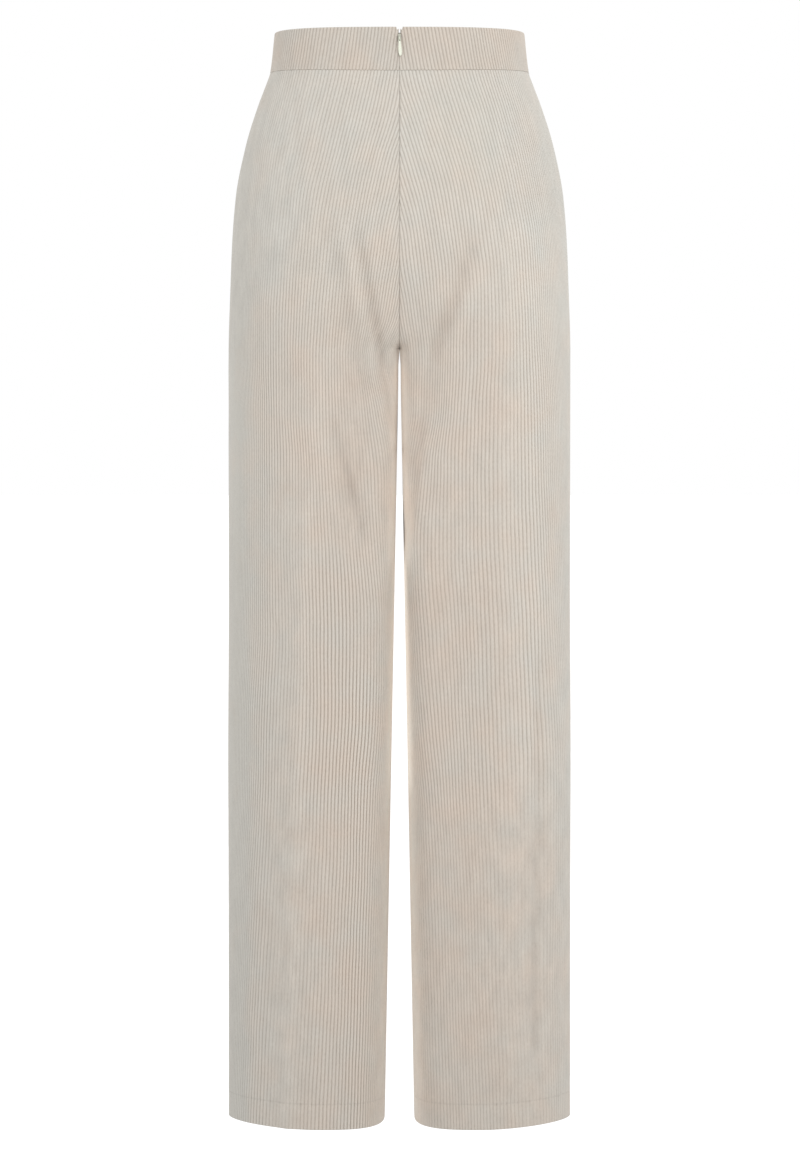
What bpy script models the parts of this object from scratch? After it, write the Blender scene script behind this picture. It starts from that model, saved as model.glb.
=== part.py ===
"""High-waisted, wide-legged corduroy trousers in their worn, hollow form.

Metres, +Z up. The back faces -Y, the wearer's left is -X. The origin is the middle of
the waistband ring, where a wearer's waist holds the garment up.

Every piece of cloth is a wall on one form. The form is given by horizontal sections:
each half of the garment is a ring around a crest line, cut off at the centre plane above
the crotch and closed around the leg below it. Cloth is laid on the ring by its length,
so the corduroy's wales keep their pitch, run along the grain, and are cut by the seams.
"""

import bpy
import bmesh
import numpy as np

MM = 0.001

# Heights of the garment's edges, in millimetres from the origin.
WAIST_TOP = 20.0
WAIST_SEAM = -19.0
CROTCH = -290.0
HEM = -1050.0

# Cloth, in millimetres.
SEAM_GAP = 0.3
PANEL_WALL = 1.8
WAISTBAND_WALL = 2.4                 # also the panels' wall at the waist seam
HEM_WALL = 2.6
HEM_DEPTH = 25.0
WALE_RELIEF = 0.8
WALE_FADE = 3.0                      # from a seam to a wale's full relief
FOLD_FADE = 12.0                     # from a seam to a fold's full depth
CENTRE_BACK_DIP = 4.0
DIP_END = -115.0

# Horizontal sections of one half, in millimetres. crest is the x of the ring's deepest
# point, inner the x of its innermost point, which lies past the centre plane above the
# crotch. grain is the x of the straight wale, pitch the distance from wale to wale.
SECTION_COLUMNS = ("height", "half_width", "crest", "inner", "back", "front",
                   "outer_power", "inner_power", "grain", "pitch")
SECTIONS = np.array((
    (20, 122.0, 0, -122.0, 86.5, 86.0, 2.90, 2.90, 48.0, 3.40),
    (-19, 126.6, 0, -126.6, 91.5, 90.5, 2.80, 2.80, 51.0, 3.40),
    (-30, 130.5, 0, -130.5, 94.4, 92.0, 2.70, 2.70, 52.0, 3.40),
    (-50, 138.2, 0, -138.0, 99.5, 95.5, 2.60, 2.60, 54.5, 3.40),
    (-90, 150.8, 0, -151.0, 110.0, 100.5, 2.40, 2.40, 60.0, 3.40),
    (-140, 160.7, 2, -152.0, 119.0, 104.0, 2.30, 2.35, 67.0, 3.40),
    (-190, 164.6, 14, -115.0, 123.0, 105.5, 2.25, 2.45, 73.0, 3.40),
    (-240, 166.5, 45, -50.0, 121.0, 105.5, 2.15, 2.60, 76.5, 3.55),
    (-270, 167.6, 66, -20.0, 117.0, 105.0, 2.10, 2.75, 78.5, 3.70),
    (-290, 168.0, 77, 0.15, 113.0, 104.5, 2.05, 2.70, 79.5, 3.80),
    (-330, 168.0, 79, 1.5, 108.5, 103.5, 2.00, 2.45, 81.0, 3.88),
    (-400, 168.0, 80, 3.3, 104.5, 102.0, 1.90, 2.25, 82.0, 3.95),
    (-520, 168.0, 80, 5.5, 101.0, 100.0, 1.80, 2.10, 80.0, 4.00),
    (-700, 169.0, 80, 9.0, 97.0, 97.0, 1.70, 2.05, 81.0, 4.00),
    (-880, 168.8, 81, 12.4, 93.0, 94.0, 1.65, 2.00, 82.0, 4.00),
    (-1050, 169.0, 81, 15.5, 90.0, 91.0, 1.60, 2.00, 84.0, 4.00),
))

# Half of the opening that the zip leaves between the centre-back edges of the waistband,
# from the lowest height up.
ZIP_MOUTH = {
    "height": (2.5, 5.0, 14.5, 20.0),
    "half_opening": (SEAM_GAP / 2, 1.0, 1.3, 3.4),
}

# Soft folds. Each is a line from one height and x to another; depth is how far its
# middle stands out (+) or in (-), and width is its half-width, in millimetres.
FOLD_COLUMNS = ("top", "x_top", "bottom", "x_bottom", "depth", "width")
FOLDS = {
    ("back", "left"): (
        (-456, 91, -1050, 109, 2.4, 10),
        (-360, 66, -480, 34, -2.6, 9),
        (-190, 33, -290, 14, -2.0, 8),
        (-190, 66, -280, 47, -1.4, 9),
    ),
    ("back", "right"): (
        (-190, 70, -300, 36, -2.2, 9),
        (-300, 36, -480, 8, -2.4, 7),
        (-380, 27, -480, 16, 1.6, 7),
        (-183, 100, -1010, 108, 2.0, 12),
        (-590, 136, -985, 132, -2.2, 6),
    ),
    ("front", "left"): (
        (-400, 88, -1050, 96, 2.0, 11),
        (-200, 62, -300, 26, -1.8, 10),
        (-330, 58, -470, 30, -2.0, 9),
    ),
    ("front", "right"): (
        (-380, 92, -1050, 100, 2.2, 11),
        (-200, 58, -290, 28, -1.8, 9),
        (-340, 62, -500, 28, -2.2, 10),
    ),
}
FOLD_ENDING = 45.0                   # length over which a fold's ends die away

# Heights at which every column of a wall has a point, and more for the columns nearer
# the inner edge than the wale SEAT_WALE, where the seat turns under to the crotch.
PANEL_ROWS = (WAIST_SEAM - SEAM_GAP, -62, -118, -178, -235, CROTCH, -355, -450, -740, HEM)
SEAT_ROWS = (-208, -258, -276)
SEAT_WALE = 8
WAISTBAND_ROWS = (WAIST_TOP, WAIST_SEAM)
MOUTH_WALE = 12                      # the same for the waistband beside the zip's mouth
INNER_STEP = 3                       # wales between two columns of the plain inside
RING_STEPS = 240
EDGE_STEPS = 1500                    # heights tried to find where a seam cuts a wale
CROTCH_STEPS = 60                    # the same close above the crotch
CROTCH_REACH = (0.005, 20.0)
HEM_STEP = 1.0                       # height in which the hem's inside steps out
MIRROR_MERGE = 0.00001               # metres

# Zip, in millimetres.
ZIP_BOTTOM = -175.0
TAPE_WIDTH = 11.0
TAPE_WALL = 0.8
TAPE_GAP = 0.4                       # from the cloth's inside to the tape
TAPE_INSET = 0.4                     # from the opening's edge to the tape's edge
TAPE_END = 1.0                       # from the waistband's top edge to the tape's
COIL_HALF_WIDTH = 1.5
COIL_WALL = 1.3
COIL_END = 2.0                       # from the tape's foot up to the coil's
SLIDER_LOW = 5.5
SLIDER_HIGH = 14.5
SLIDER_BODY_WIDTH = 6.4
SLIDER_BODY_WALL = 2.6
SLIDER_BODY_ROUNDING = 0.6
SLIDER_NECK_WIDTH = 0.9
SLIDER_NECK_INSET = 1.5              # from the body's ends to the neck's
SLIDER_PLATE_WIDTH = 3.4
SLIDER_PLATE_WALL = 1.0
SLIDER_PLATE_ROUNDING = 0.35
JOIN_DEPTH = 0.4                     # how far the slider's shapes run into each other
BAIL_WALL = 0.9
BAIL_FRAME = 0.8
BAIL_WINDOW = (2.0, 2.8)             # outwards, and along the zip
BAIL_ROUNDING = (0.7, 0.3)           # of its outline and of its window
PULL_PIVOT_OUT = 91.9                # behind the origin, measured along -Y
PULL_PIVOT_UP = 9.0
PULL_LENGTH = 17.5
PULL_WALL = 0.9
PULL_TOP_WIDTH = 2.9
PULL_FOOT_WIDTH = 4.6
PULL_ROUNDING = 0.4
PULL_SHOULDER = 2.0                  # from the eye down to where the tab widens
PULL_WAIST = (0.97, 2.5)             # share of the foot's half-width, and height over it
PULL_EYE = (1.7, 2.9)                # across, and down from the pivot bar

SIDES = {"left": -1, "right": 1}
FACES = {"back": -1, "front": 1}

# The grain line is straight below GRAIN_FOOT and leans in above it, a little more on
# the right half than on the left.
GRAIN_FOOT = 80.0
GRAIN_LEAN = {"left": 0.95, "right": 1.15}

SHARP_ANGLE = np.radians(55)
CORDUROY = (0.66, 0.57, 0.48)
TAPE_CREAM = (0.72, 0.66, 0.58)
CREAM_ENAMEL = (0.82, 0.80, 0.70)


def clear_scene():
    for obj in list(bpy.data.objects):
        bpy.data.objects.remove(obj, do_unlink=True)


def new_collection(name):
    collection = bpy.data.collections.new(name)
    bpy.context.scene.collection.children.link(collection)
    return collection


def principled(name, colour, roughness, metallic=0.0):
    material = bpy.data.materials.new(name)
    material.use_nodes = True
    shader = material.node_tree.nodes["Principled BSDF"]
    shader.inputs["Base Color"].default_value = (*colour, 1.0)
    shader.inputs["Roughness"].default_value = roughness
    shader.inputs["Metallic"].default_value = metallic
    return material


def section(name, height):
    """A column of the section table at any height: a cubic through the rows.

    Its slope in a row is the harmonic mean of the slopes to the rows next to it, or
    level where the column turns, so the curve never swings past a row.
    """
    heights = SECTIONS[::-1, 0]
    values = SECTIONS[::-1, SECTION_COLUMNS.index(name)]
    chords = np.diff(values) / np.diff(heights)
    before, after = chords[:-1], chords[1:]
    product = np.maximum(before * after, 0)
    turning = np.where(product > 0, 2 * product / np.where(product > 0, before + after, 1), 0)
    slopes = np.concatenate((chords[:1], turning, chords[-1:]))
    height = np.clip(height, heights[0], heights[-1])
    row = np.clip(np.searchsorted(heights, height) - 1, 0, len(heights) - 2)
    span = heights[row + 1] - heights[row]
    t = (height - heights[row]) / span
    rise = t * t * (3 - 2 * t)
    return (values[row] * (1 - rise) + values[row + 1] * rise
            + span * slopes[row] * t * (1 - t) ** 2
            - span * slopes[row + 1] * t * t * (1 - t))


def centre_edge(face, height, seamed=True):
    """The x where a half ends at the centre plane."""
    if not seamed:
        return np.zeros_like(height)
    if face == "front":
        return np.full_like(height, SEAM_GAP / 2)
    return np.interp(height, ZIP_MOUTH["height"], ZIP_MOUTH["half_opening"])


def rings(face, height, seamed=True):
    """The right half's section at each height, from its side to its inner end.

    A superellipse quarter on each side of the crest. Gives x, outward depth, the length
    along the ring and the outward direction, one row for each height.
    """
    height = np.asarray(height, dtype=float)
    value = {name: section(name, height)[:, None] for name in SECTION_COLUMNS[1:]}
    outer_reach = value["half_width"] - value["crest"]
    inner_reach = value["crest"] - value["inner"]
    edge = centre_edge(face, height, seamed)[:, None] - value["crest"]
    outer_cut = np.clip(edge / outer_reach, 0, 1) ** (value["outer_power"] / 2)
    inner_cut = np.clip(-edge / inner_reach, 0, 1) ** (value["inner_power"] / 2)
    last = np.arccos(np.where(edge > 0, outer_cut, -inner_cut))
    angle = last * np.linspace(0, 1, RING_STEPS)
    outer = angle <= np.pi / 2
    power = 2 / np.where(outer, value["outer_power"], value["inner_power"])
    reach = np.where(outer, outer_reach, -inner_reach)
    x = value["crest"] + reach * np.abs(np.cos(angle)) ** power
    depth = value[face] * np.abs(np.sin(angle)) ** power
    step = np.hypot(np.diff(x, axis=1), np.diff(depth, axis=1))
    length = np.concatenate((np.zeros((len(height), 1)), np.cumsum(step, axis=1)), axis=1)
    along_x = np.gradient(x, axis=1)
    along_depth = np.gradient(depth, axis=1)
    size = np.hypot(along_x, along_depth)
    return {"x": x, "depth": depth, "length": length,
            "out_x": along_depth / size, "out_depth": -along_x / size}


def look_up(ring, key, wanted, names):
    """Values on each ring where its key, which rises along it, reaches what is wanted."""
    row = np.arange(len(wanted))
    step = np.clip((key < wanted[:, None]).sum(axis=1), 1, key.shape[1] - 1)
    low = key[row, step - 1]
    part = np.clip((wanted - low) / (key[row, step] - low), 0, 1)
    return [ring[name][row, step - 1] * (1 - part) + ring[name][row, step] * part
            for name in names]


def grain_length(side, ring, height):
    """The length along each ring from its side end to the grain line."""
    lean = np.where(height > CROTCH, GRAIN_LEAN[side], 1.0)
    grain_x = GRAIN_FOOT + (section("grain", height) - GRAIN_FOOT) * lean
    return look_up(ring, -ring["x"], -grain_x, ("length",))[0]


def edge_wales(face, side, height, seamed=True):
    """The wale numbers at the side end and the inner end, counted from the grain line."""
    ring = rings(face, height, seamed)
    grain = grain_length(side, ring, height)
    pitch = section("pitch", height)
    return -grain / pitch, (ring["length"][:, -1] - grain) / pitch


def fold_relief(face, side, x, height):
    """How far the folds move the cloth out at each point."""
    total = np.zeros_like(x)
    for row in FOLDS[face, side]:
        fold = dict(zip(FOLD_COLUMNS, row))
        line = np.interp(height, (fold["bottom"], fold["top"]),
                         (fold["x_bottom"], fold["x_top"]))
        inside = np.minimum(fold["top"] - height, height - fold["bottom"])
        fade = np.clip(inside / FOLD_ENDING + 0.5, 0, 1)
        fade = fade * fade * (3 - 2 * fade)
        total += fold["depth"] * fade * np.exp(-((x - line) / fold["width"]) ** 2)
    return total


def lowered(face, x, height):
    """The centre-back dip of the waistband seam, fading out above and below it."""
    if face == "front":
        return height
    across = np.clip(1 - (x / section("half_width", height)) ** 2, 0, 1)
    share = np.interp(height, (DIP_END, WAIST_SEAM, WAIST_TOP), (0, 1, 0))
    return height - CENTRE_BACK_DIP * across * share


def cloth_points(face, side, wale, height, offset, ridge=0.0, seamed=True):
    """Points of the cloth in metres, for wale numbers and heights.

    offset moves a point out along its section's normal. ridge is 1 on top of a wale and
    0 in a groove; its relief dies away towards the seams.
    """
    ring = rings(face, height, seamed)
    grain = grain_length(side, ring, height)
    last = ring["length"][:, -1]
    length = np.clip(grain + wale * section("pitch", height), 0, last)
    names = ("x", "depth", "out_x", "out_depth")
    x, depth, out_x, out_depth = look_up(ring, ring["length"], length, names)
    from_seam = np.minimum(length, last - length)
    fade = 1 - np.exp(-(from_seam / FOLD_FADE) ** 2)
    move = offset + fade * fold_relief(face, side, x, height)
    move = move + WALE_RELIEF * ridge * np.clip(from_seam / WALE_FADE, 0, 1)
    z = lowered(face, x, height)
    x = np.maximum(x + move * out_x, centre_edge(face, height, seamed))
    y = SEAM_GAP / 2 + depth + move * out_depth
    return np.column_stack((SIDES[side] * x, FACES[face] * y, z)) * MM


def cut_columns(face, side, rows, wales, extra, extra_from, seamed=True):
    """Columns of points that follow the wales and end on the seams that cut them.

    Each column is a list of (wale number, height, whether it lies off the seams), from
    the top down. The first and last columns are the side seam and the inner edge. The
    extra rows are given to the inner edge and to the wales from extra_from inwards.
    """
    top, bottom = rows[0], rows[-1]
    fine = np.linspace(top, bottom, EDGE_STEPS)
    near_crotch = CROTCH + np.geomspace(*CROTCH_REACH, CROTCH_STEPS)
    fine = np.unique(np.concatenate((fine, near_crotch, rows)))
    fine = fine[(fine >= bottom) & (fine <= top)]
    side_wale, inner_wale = edge_wales(face, side, fine, seamed)
    ends = {-1: set(rows), 1: set(rows) | set(extra)}
    own = {}
    for wale in wales:
        inside = fine[(wale >= side_wale) & (wale <= inner_wale)]
        if len(inside) < 2:
            continue
        own[wale] = []
        for height, limit in ((inside.max(), top), (inside.min(), bottom)):
            if height != limit:
                at = np.searchsorted(fine, height)
                near_side = abs(side_wale[at] - wale) < abs(inner_wale[at] - wale)
                own[wale].append(height)
                ends[-1 if near_side else 1].add(height)
    edge = {}
    levels = sorted(ends[-1] | ends[1])
    limits = edge_wales(face, side, np.array(levels), seamed)
    for height, low, high in zip(levels, *limits):
        edge[height] = (low, high)
    columns = []
    for wale in [-np.inf] + sorted(own) + [np.inf]:
        column = {}
        for height in ends[-1]:
            if wale < edge[height][0]:
                column[height] = (edge[height][0], False)
        for height in ends[1]:
            if wale > edge[height][1]:
                column[height] = (edge[height][1], False)
        own_rows = tuple(rows) + (tuple(extra) if wale >= extra_from else ())
        for height in own_rows:
            if edge[height][0] <= wale <= edge[height][1]:
                column[height] = (wale, True)
        for height in own.get(wale, ()):
            nearest = min(edge[height], key=lambda end: abs(end - wale))
            column[height] = (nearest, False)
        columns.append([(column[height][0], height, column[height][1])
                        for height in sorted(column, reverse=True)])
    return columns


def strip(first, second, first_key, second_key):
    """Triangles between two chains of points, each joined to the nearest by its key."""
    faces = []
    i = j = 0
    while i < len(first) - 1 or j < len(second) - 1:
        take_first = j == len(second) - 1
        if i < len(first) - 1 and not take_first:
            first_middle = first_key[i] + first_key[i + 1]
            take_first = first_middle <= second_key[j] + second_key[j + 1]
        if take_first:
            face = (first[i], first[i + 1], second[j])
            i += 1
        else:
            face = (first[i], second[j + 1], second[j])
            j += 1
        if len(set(face)) == 3:
            faces.append(face)
    return faces


def cloth_wall(name, face, side, rows, wall, extra=(), extra_from=np.inf, hem=False,
               seamed=True):
    """A cut piece of corduroy as a closed wall: wales outside, plain inside.

    Outside, a column of points runs along every wale and every groove. Without the
    centre seam, the piece is left open in the centre plane for a Mirror modifier.
    """
    low, high = edge_wales(face, side, np.array(rows, dtype=float), seamed)
    low = int(np.floor(low.min())) - SEAT_WALE
    high = int(np.ceil(high.max())) + SEAT_WALE
    inner_rows = tuple(rows)
    if hem:
        inner_rows = inner_rows[:-1] + (HEM + HEM_DEPTH + HEM_STEP, HEM + HEM_DEPTH, HEM)
    layers = ((False, np.arange(2 * low, 2 * high) / 2, tuple(rows)),
              (True, np.arange(low, high, INNER_STEP) + 0.0, inner_rows))
    numbers, faces, ends = {}, [], []
    for inside, wales, levels in layers:
        columns = cut_columns(face, side, levels, wales, extra, extra_from, seamed)
        chains = [[numbers.setdefault((inside, *point), len(numbers)) for point in column]
                  for column in columns]
        falls = [[-point[1] for point in column] for column in columns]
        for k in range(len(columns) - 1):
            faces += strip(chains[k], chains[k + 1], falls[k], falls[k + 1])
        top = {chain[0]: column[0][0] for chain, column in zip(chains, columns)}
        foot = {chain[-1]: column[-1][0] for chain, column in zip(chains, columns)}
        ends.append(((chains[0], falls[0]), (chains[-1], falls[-1]),
                     (list(top), list(top.values())), (list(foot), list(foot.values()))))
    for outer, inner in zip(*ends):
        at_centre = outer[0] is ends[0][1][0]
        if seamed or not at_centre:
            faces += strip(outer[0], inner[0], outer[1], inner[1])
    inside, wale, height, free = (np.array(column) for column in zip(*numbers))
    ridge = np.where(free & ~inside, np.abs(wale * 2) % 2, 0.0)
    depth = np.where(height == PANEL_ROWS[0], WAISTBAND_WALL, wall)
    depth = np.where(hem & (height <= HEM + HEM_DEPTH), HEM_WALL, depth)
    offset = np.where(inside, -depth, 0.0)
    points = cloth_points(face, side, wale, height, offset, ridge, seamed)
    return solid_from_faces(name, points, faces)


def solid_from_faces(name, points, faces):
    """An object from points and faces, with its faces turned outwards."""
    mesh = bpy.data.meshes.new(name)
    shape = bmesh.new()
    verts = [shape.verts.new(point) for point in points]
    for face in faces:
        shape.faces.new([verts[k] for k in face])
    bmesh.ops.recalc_face_normals(shape, faces=shape.faces)
    shape.to_mesh(mesh)
    shape.free()
    return bpy.data.objects.new(name, mesh)


def place(obj, collection, material):
    obj.data.materials.append(material)
    obj.data.shade_smooth()
    obj.data.set_sharp_from_angle(angle=SHARP_ANGLE)
    collection.objects.link(obj)
    return obj


def build_panels(collection, material):
    for side in SIDES:
        for face in FACES:
            name = f"{face}_panel_{side}"
            panel = cloth_wall(name, face, side, PANEL_ROWS, PANEL_WALL, SEAT_ROWS,
                               SEAT_WALE, hem=True)
            place(panel, collection, material)


def build_waistband(collection, material):
    mouth = ZIP_MOUTH["height"][:-1]
    for side in SIDES:
        name = f"waistband_back_{side}"
        band = cloth_wall(name, "back", side, WAISTBAND_ROWS, WAISTBAND_WALL, mouth,
                          MOUTH_WALE)
        place(band, collection, material)
    front = cloth_wall("waistband_front", "front", "right", WAISTBAND_ROWS,
                       WAISTBAND_WALL, seamed=False)
    mirror = front.modifiers.new("other half", "MIRROR")
    mirror.merge_threshold = MIRROR_MERGE
    place(front, collection, material)


def inside_edge(height, inset, offset):
    """Right-hand points of the centre back, inset from the edge and moved off the form."""
    height = np.asarray(height, dtype=float)
    ring = rings("back", height)
    grain = grain_length("right", ring, height)
    wale = (ring["length"][:, -1] - inset - grain) / section("pitch", height)
    return cloth_points("back", "right", wale, height, np.asarray(offset, dtype=float))


def loft(name, corners):
    """A closed solid through rings of points, one ring for each height."""
    count, width = len(corners), len(corners[0])
    faces = [tuple(range(width)), tuple((count - 1) * width + k for k in range(width))]
    for row in range(count - 1):
        for k in range(width):
            here, after = row * width + k, row * width + (k + 1) % width
            faces.append((here, after, after + width, here + width))
    return solid_from_faces(name, [point for ring in corners for point in ring], faces)


def zip_heights():
    """Rows of the zip, level with the rows of the cloth that it lies behind."""
    panel = [row for row in PANEL_ROWS if row > ZIP_BOTTOM]
    mouth = list(ZIP_MOUTH["height"][-2::-1])
    return [WAIST_TOP - TAPE_END] + mouth + [WAIST_SEAM + TAPE_END] + panel + [ZIP_BOTTOM]


def cloth_behind(height):
    """How far the tape's outer face lies inside the form at each height."""
    height = np.asarray(height, dtype=float)
    deep = WAISTBAND_WALL + TAPE_GAP
    shallow = PANEL_WALL + TAPE_GAP
    return -np.interp(height, (PANEL_ROWS[1], PANEL_ROWS[0]), (shallow, deep))


def build_zip_tapes(collection, material):
    heights = zip_heights()
    outside = cloth_behind(heights)
    lines = [inside_edge(heights, inset, outside - wall)
             for inset, wall in ((TAPE_INSET, 0), (TAPE_WIDTH, 0),
                                 (TAPE_WIDTH, TAPE_WALL), (TAPE_INSET, TAPE_WALL))]
    for side, sign in SIDES.items():
        mirrored = np.stack(lines, axis=1) * (sign, 1, 1)
        place(loft(f"zip_tape_{side}", mirrored), collection, material)


def build_zip_coil(collection, material):
    between = [row for row in zip_heights() if ZIP_BOTTOM < row < SLIDER_LOW - TAPE_END]
    heights = [SLIDER_LOW - SEAM_GAP] + between + [ZIP_BOTTOM + COIL_END]
    behind = cloth_behind(heights) - TAPE_WALL - SEAM_GAP
    near = inside_edge(heights, COIL_HALF_WIDTH, behind)
    far = inside_edge(heights, COIL_HALF_WIDTH, behind - COIL_WALL)
    half = np.array((COIL_HALF_WIDTH * MM, 0, 0))
    flat = np.array((0, 1, 1))
    corners = np.stack((near * flat - half, near * flat + half,
                        far * flat + half, far * flat - half), axis=1)
    place(loft("zip_coil", corners), collection, material)


def rounded_box(name, size, centre, rounding):
    """A box with rounded edges, sizes and centre in millimetres."""
    mesh = bpy.data.meshes.new(name)
    shape = bmesh.new()
    bmesh.ops.create_cube(shape, size=1.0)
    bmesh.ops.scale(shape, vec=np.array(size) * MM, verts=shape.verts)
    bmesh.ops.translate(shape, vec=np.array(centre) * MM, verts=shape.verts)
    if rounding:
        bmesh.ops.bevel(shape, geom=shape.edges, offset=rounding * MM, segments=2,
                        profile=0.5, affect="EDGES")
    shape.to_mesh(mesh)
    shape.free()
    return bpy.data.objects.new(name, mesh)


def flat_plate(name, outlines, wall, collection):
    """A plate of the given wall from closed outlines in millimetres, holes included."""
    curve = bpy.data.curves.new(name, "CURVE")
    curve.dimensions = "2D"
    curve.fill_mode = "BOTH"
    curve.extrude = wall * MM / 2
    for outline in outlines:
        spline = curve.splines.new("POLY")
        spline.points.add(len(outline) - 1)
        for point, (across, up) in zip(spline.points, outline):
            point.co = (across * MM, up * MM, 0, 1)
        spline.use_cyclic_u = True
    holder = bpy.data.objects.new(name + "_outline", curve)
    collection.objects.link(holder)
    graph = bpy.context.evaluated_depsgraph_get()
    mesh = bpy.data.meshes.new_from_object(holder.evaluated_get(graph))
    bpy.data.objects.remove(holder)
    shape = bmesh.new()
    shape.from_mesh(mesh)
    bmesh.ops.remove_doubles(shape, verts=shape.verts, dist=1e-6)
    bmesh.ops.recalc_face_normals(shape, faces=shape.faces)
    shape.to_mesh(mesh)
    shape.free()
    return mesh


def rounded_outline(half_width, low, high, rounding, steps=3):
    """A rectangle with rounded corners, anticlockwise from its lower right corner."""
    centres = ((half_width, low, -90), (half_width, high, 0),
               (-half_width, high, 90), (-half_width, low, 180))
    points = []
    for x, y, start in centres:
        x -= np.sign(x) * rounding
        y += rounding if y == low else -rounding
        for turn in np.radians(start + np.linspace(0, 90, steps + 1)):
            points.append((x + rounding * np.cos(turn), y + rounding * np.sin(turn)))
    return points


def build_slider(collection, cutters, material):
    """The slider: a body on the coil, a neck between the edges, a plate and its bail."""
    height = SLIDER_HIGH - SLIDER_LOW
    middle = (SLIDER_HIGH + SLIDER_LOW) / 2
    upper_form, lower_form = inside_edge([SLIDER_HIGH, SLIDER_LOW], 0.0, [0.0, 0.0])[:, 1] / MM
    inner_face = upper_form - cloth_behind([middle])[0] + TAPE_WALL + SEAM_GAP
    plate_back = lower_form - WALE_RELIEF - SEAM_GAP
    plate_front = plate_back - SLIDER_PLATE_WALL
    body = rounded_box("zip_slider",
                       (SLIDER_BODY_WIDTH, SLIDER_BODY_WALL, height),
                       (0, inner_face + SLIDER_BODY_WALL / 2, middle),
                       SLIDER_BODY_ROUNDING)
    place(body, collection, material)
    neck_from, neck_to = inner_face + JOIN_DEPTH, plate_back - JOIN_DEPTH
    neck = rounded_box("slider_neck",
                       (SLIDER_NECK_WIDTH, neck_from - neck_to,
                        height - 2 * SLIDER_NECK_INSET),
                       (0, (neck_from + neck_to) / 2, middle), 0)
    plate = rounded_box("slider_plate",
                        (SLIDER_PLATE_WIDTH, SLIDER_PLATE_WALL, height),
                        (0, (plate_back + plate_front) / 2, middle),
                        SLIDER_PLATE_ROUNDING)
    window_out, window_up = BAIL_WINDOW
    reach = PULL_PIVOT_OUT + window_out / 2 + BAIL_FRAME + plate_front
    outline = rounded_outline(window_up / 2 + BAIL_FRAME, -JOIN_DEPTH, reach,
                              BAIL_ROUNDING[0])
    inner_low = reach - BAIL_FRAME - window_out
    window = rounded_outline(window_up / 2, inner_low, reach - BAIL_FRAME,
                             BAIL_ROUNDING[1])
    mesh = flat_plate("slider_bail", (outline, window), BAIL_WALL, collection)
    bail = bpy.data.objects.new("slider_bail", mesh)
    # The outline's across runs along Z and its up runs out along -Y.
    for vertex in mesh.vertices:
        across, up, thick = vertex.co
        vertex.co = (thick, plate_front * MM - up, PULL_PIVOT_UP * MM + across)
    shape = bmesh.new()
    shape.from_mesh(mesh)
    bmesh.ops.recalc_face_normals(shape, faces=shape.faces)
    shape.to_mesh(mesh)
    shape.free()
    for piece in (neck, plate, bail):
        cutters.objects.link(piece)
        piece.hide_render = True
        piece.display_type = "WIRE"
        union = body.modifiers.new(piece.name, "BOOLEAN")
        union.operation = "UNION"
        union.object = piece


def build_pull_tab(collection, material):
    """The drop-shaped tab, its eye round the bail and its origin on the pivot bar."""
    bar = PULL_WALL / 2
    foot = PULL_FOOT_WIDTH / 2
    top = PULL_TOP_WIDTH / 2
    shoulder = -PULL_EYE[1] - PULL_SHOULDER
    waist = (foot * PULL_WAIST[0], foot - PULL_LENGTH + PULL_WAIST[1])
    corner = bar - PULL_ROUNDING
    right = [waist, (top, shoulder), (top, corner), (top - PULL_ROUNDING, bar)]
    turn = np.radians(np.linspace(0, 180, 9))
    outline = [(foot * np.cos(t), foot - PULL_LENGTH - foot * np.sin(t)) for t in turn]
    outline += [(-across, up) for across, up in right] + right[::-1]
    eye = rounded_outline(PULL_EYE[0] / 2, -bar - PULL_EYE[1], -bar, PULL_ROUNDING, steps=2)
    mesh = flat_plate("zip_pull_tab", (outline, eye), PULL_WALL, collection)
    for vertex in mesh.vertices:
        across, up, thick = vertex.co
        vertex.co = (across, -thick, up)
    mesh.update()
    pivot = bpy.data.objects.new("pull_pivot", None)
    pivot.location = (0, -PULL_PIVOT_OUT * MM, PULL_PIVOT_UP * MM)
    collection.objects.link(pivot)
    tab = bpy.data.objects.new("zip_pull_tab", mesh)
    tab.parent = pivot
    place(tab, collection, material)


def main():
    clear_scene()
    garment = new_collection("corduroy_trousers")
    cutters = new_collection("joined_shapes")
    corduroy = principled("corduroy", CORDUROY, 0.85)
    tape = principled("zip_tape", TAPE_CREAM, 0.8)
    enamel = principled("cream_enamel", CREAM_ENAMEL, 0.35, 0.3)
    build_panels(garment, corduroy)
    build_waistband(garment, corduroy)
    build_zip_tapes(garment, tape)
    build_zip_coil(garment, tape)
    build_slider(garment, cutters, enamel)
    build_pull_tab(garment, enamel)


main()
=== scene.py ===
# High-waisted, wide-legged corduroy trousers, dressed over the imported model.
# Metres, +Z up. The back faces -Y and the wearer's left is -X.

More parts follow.
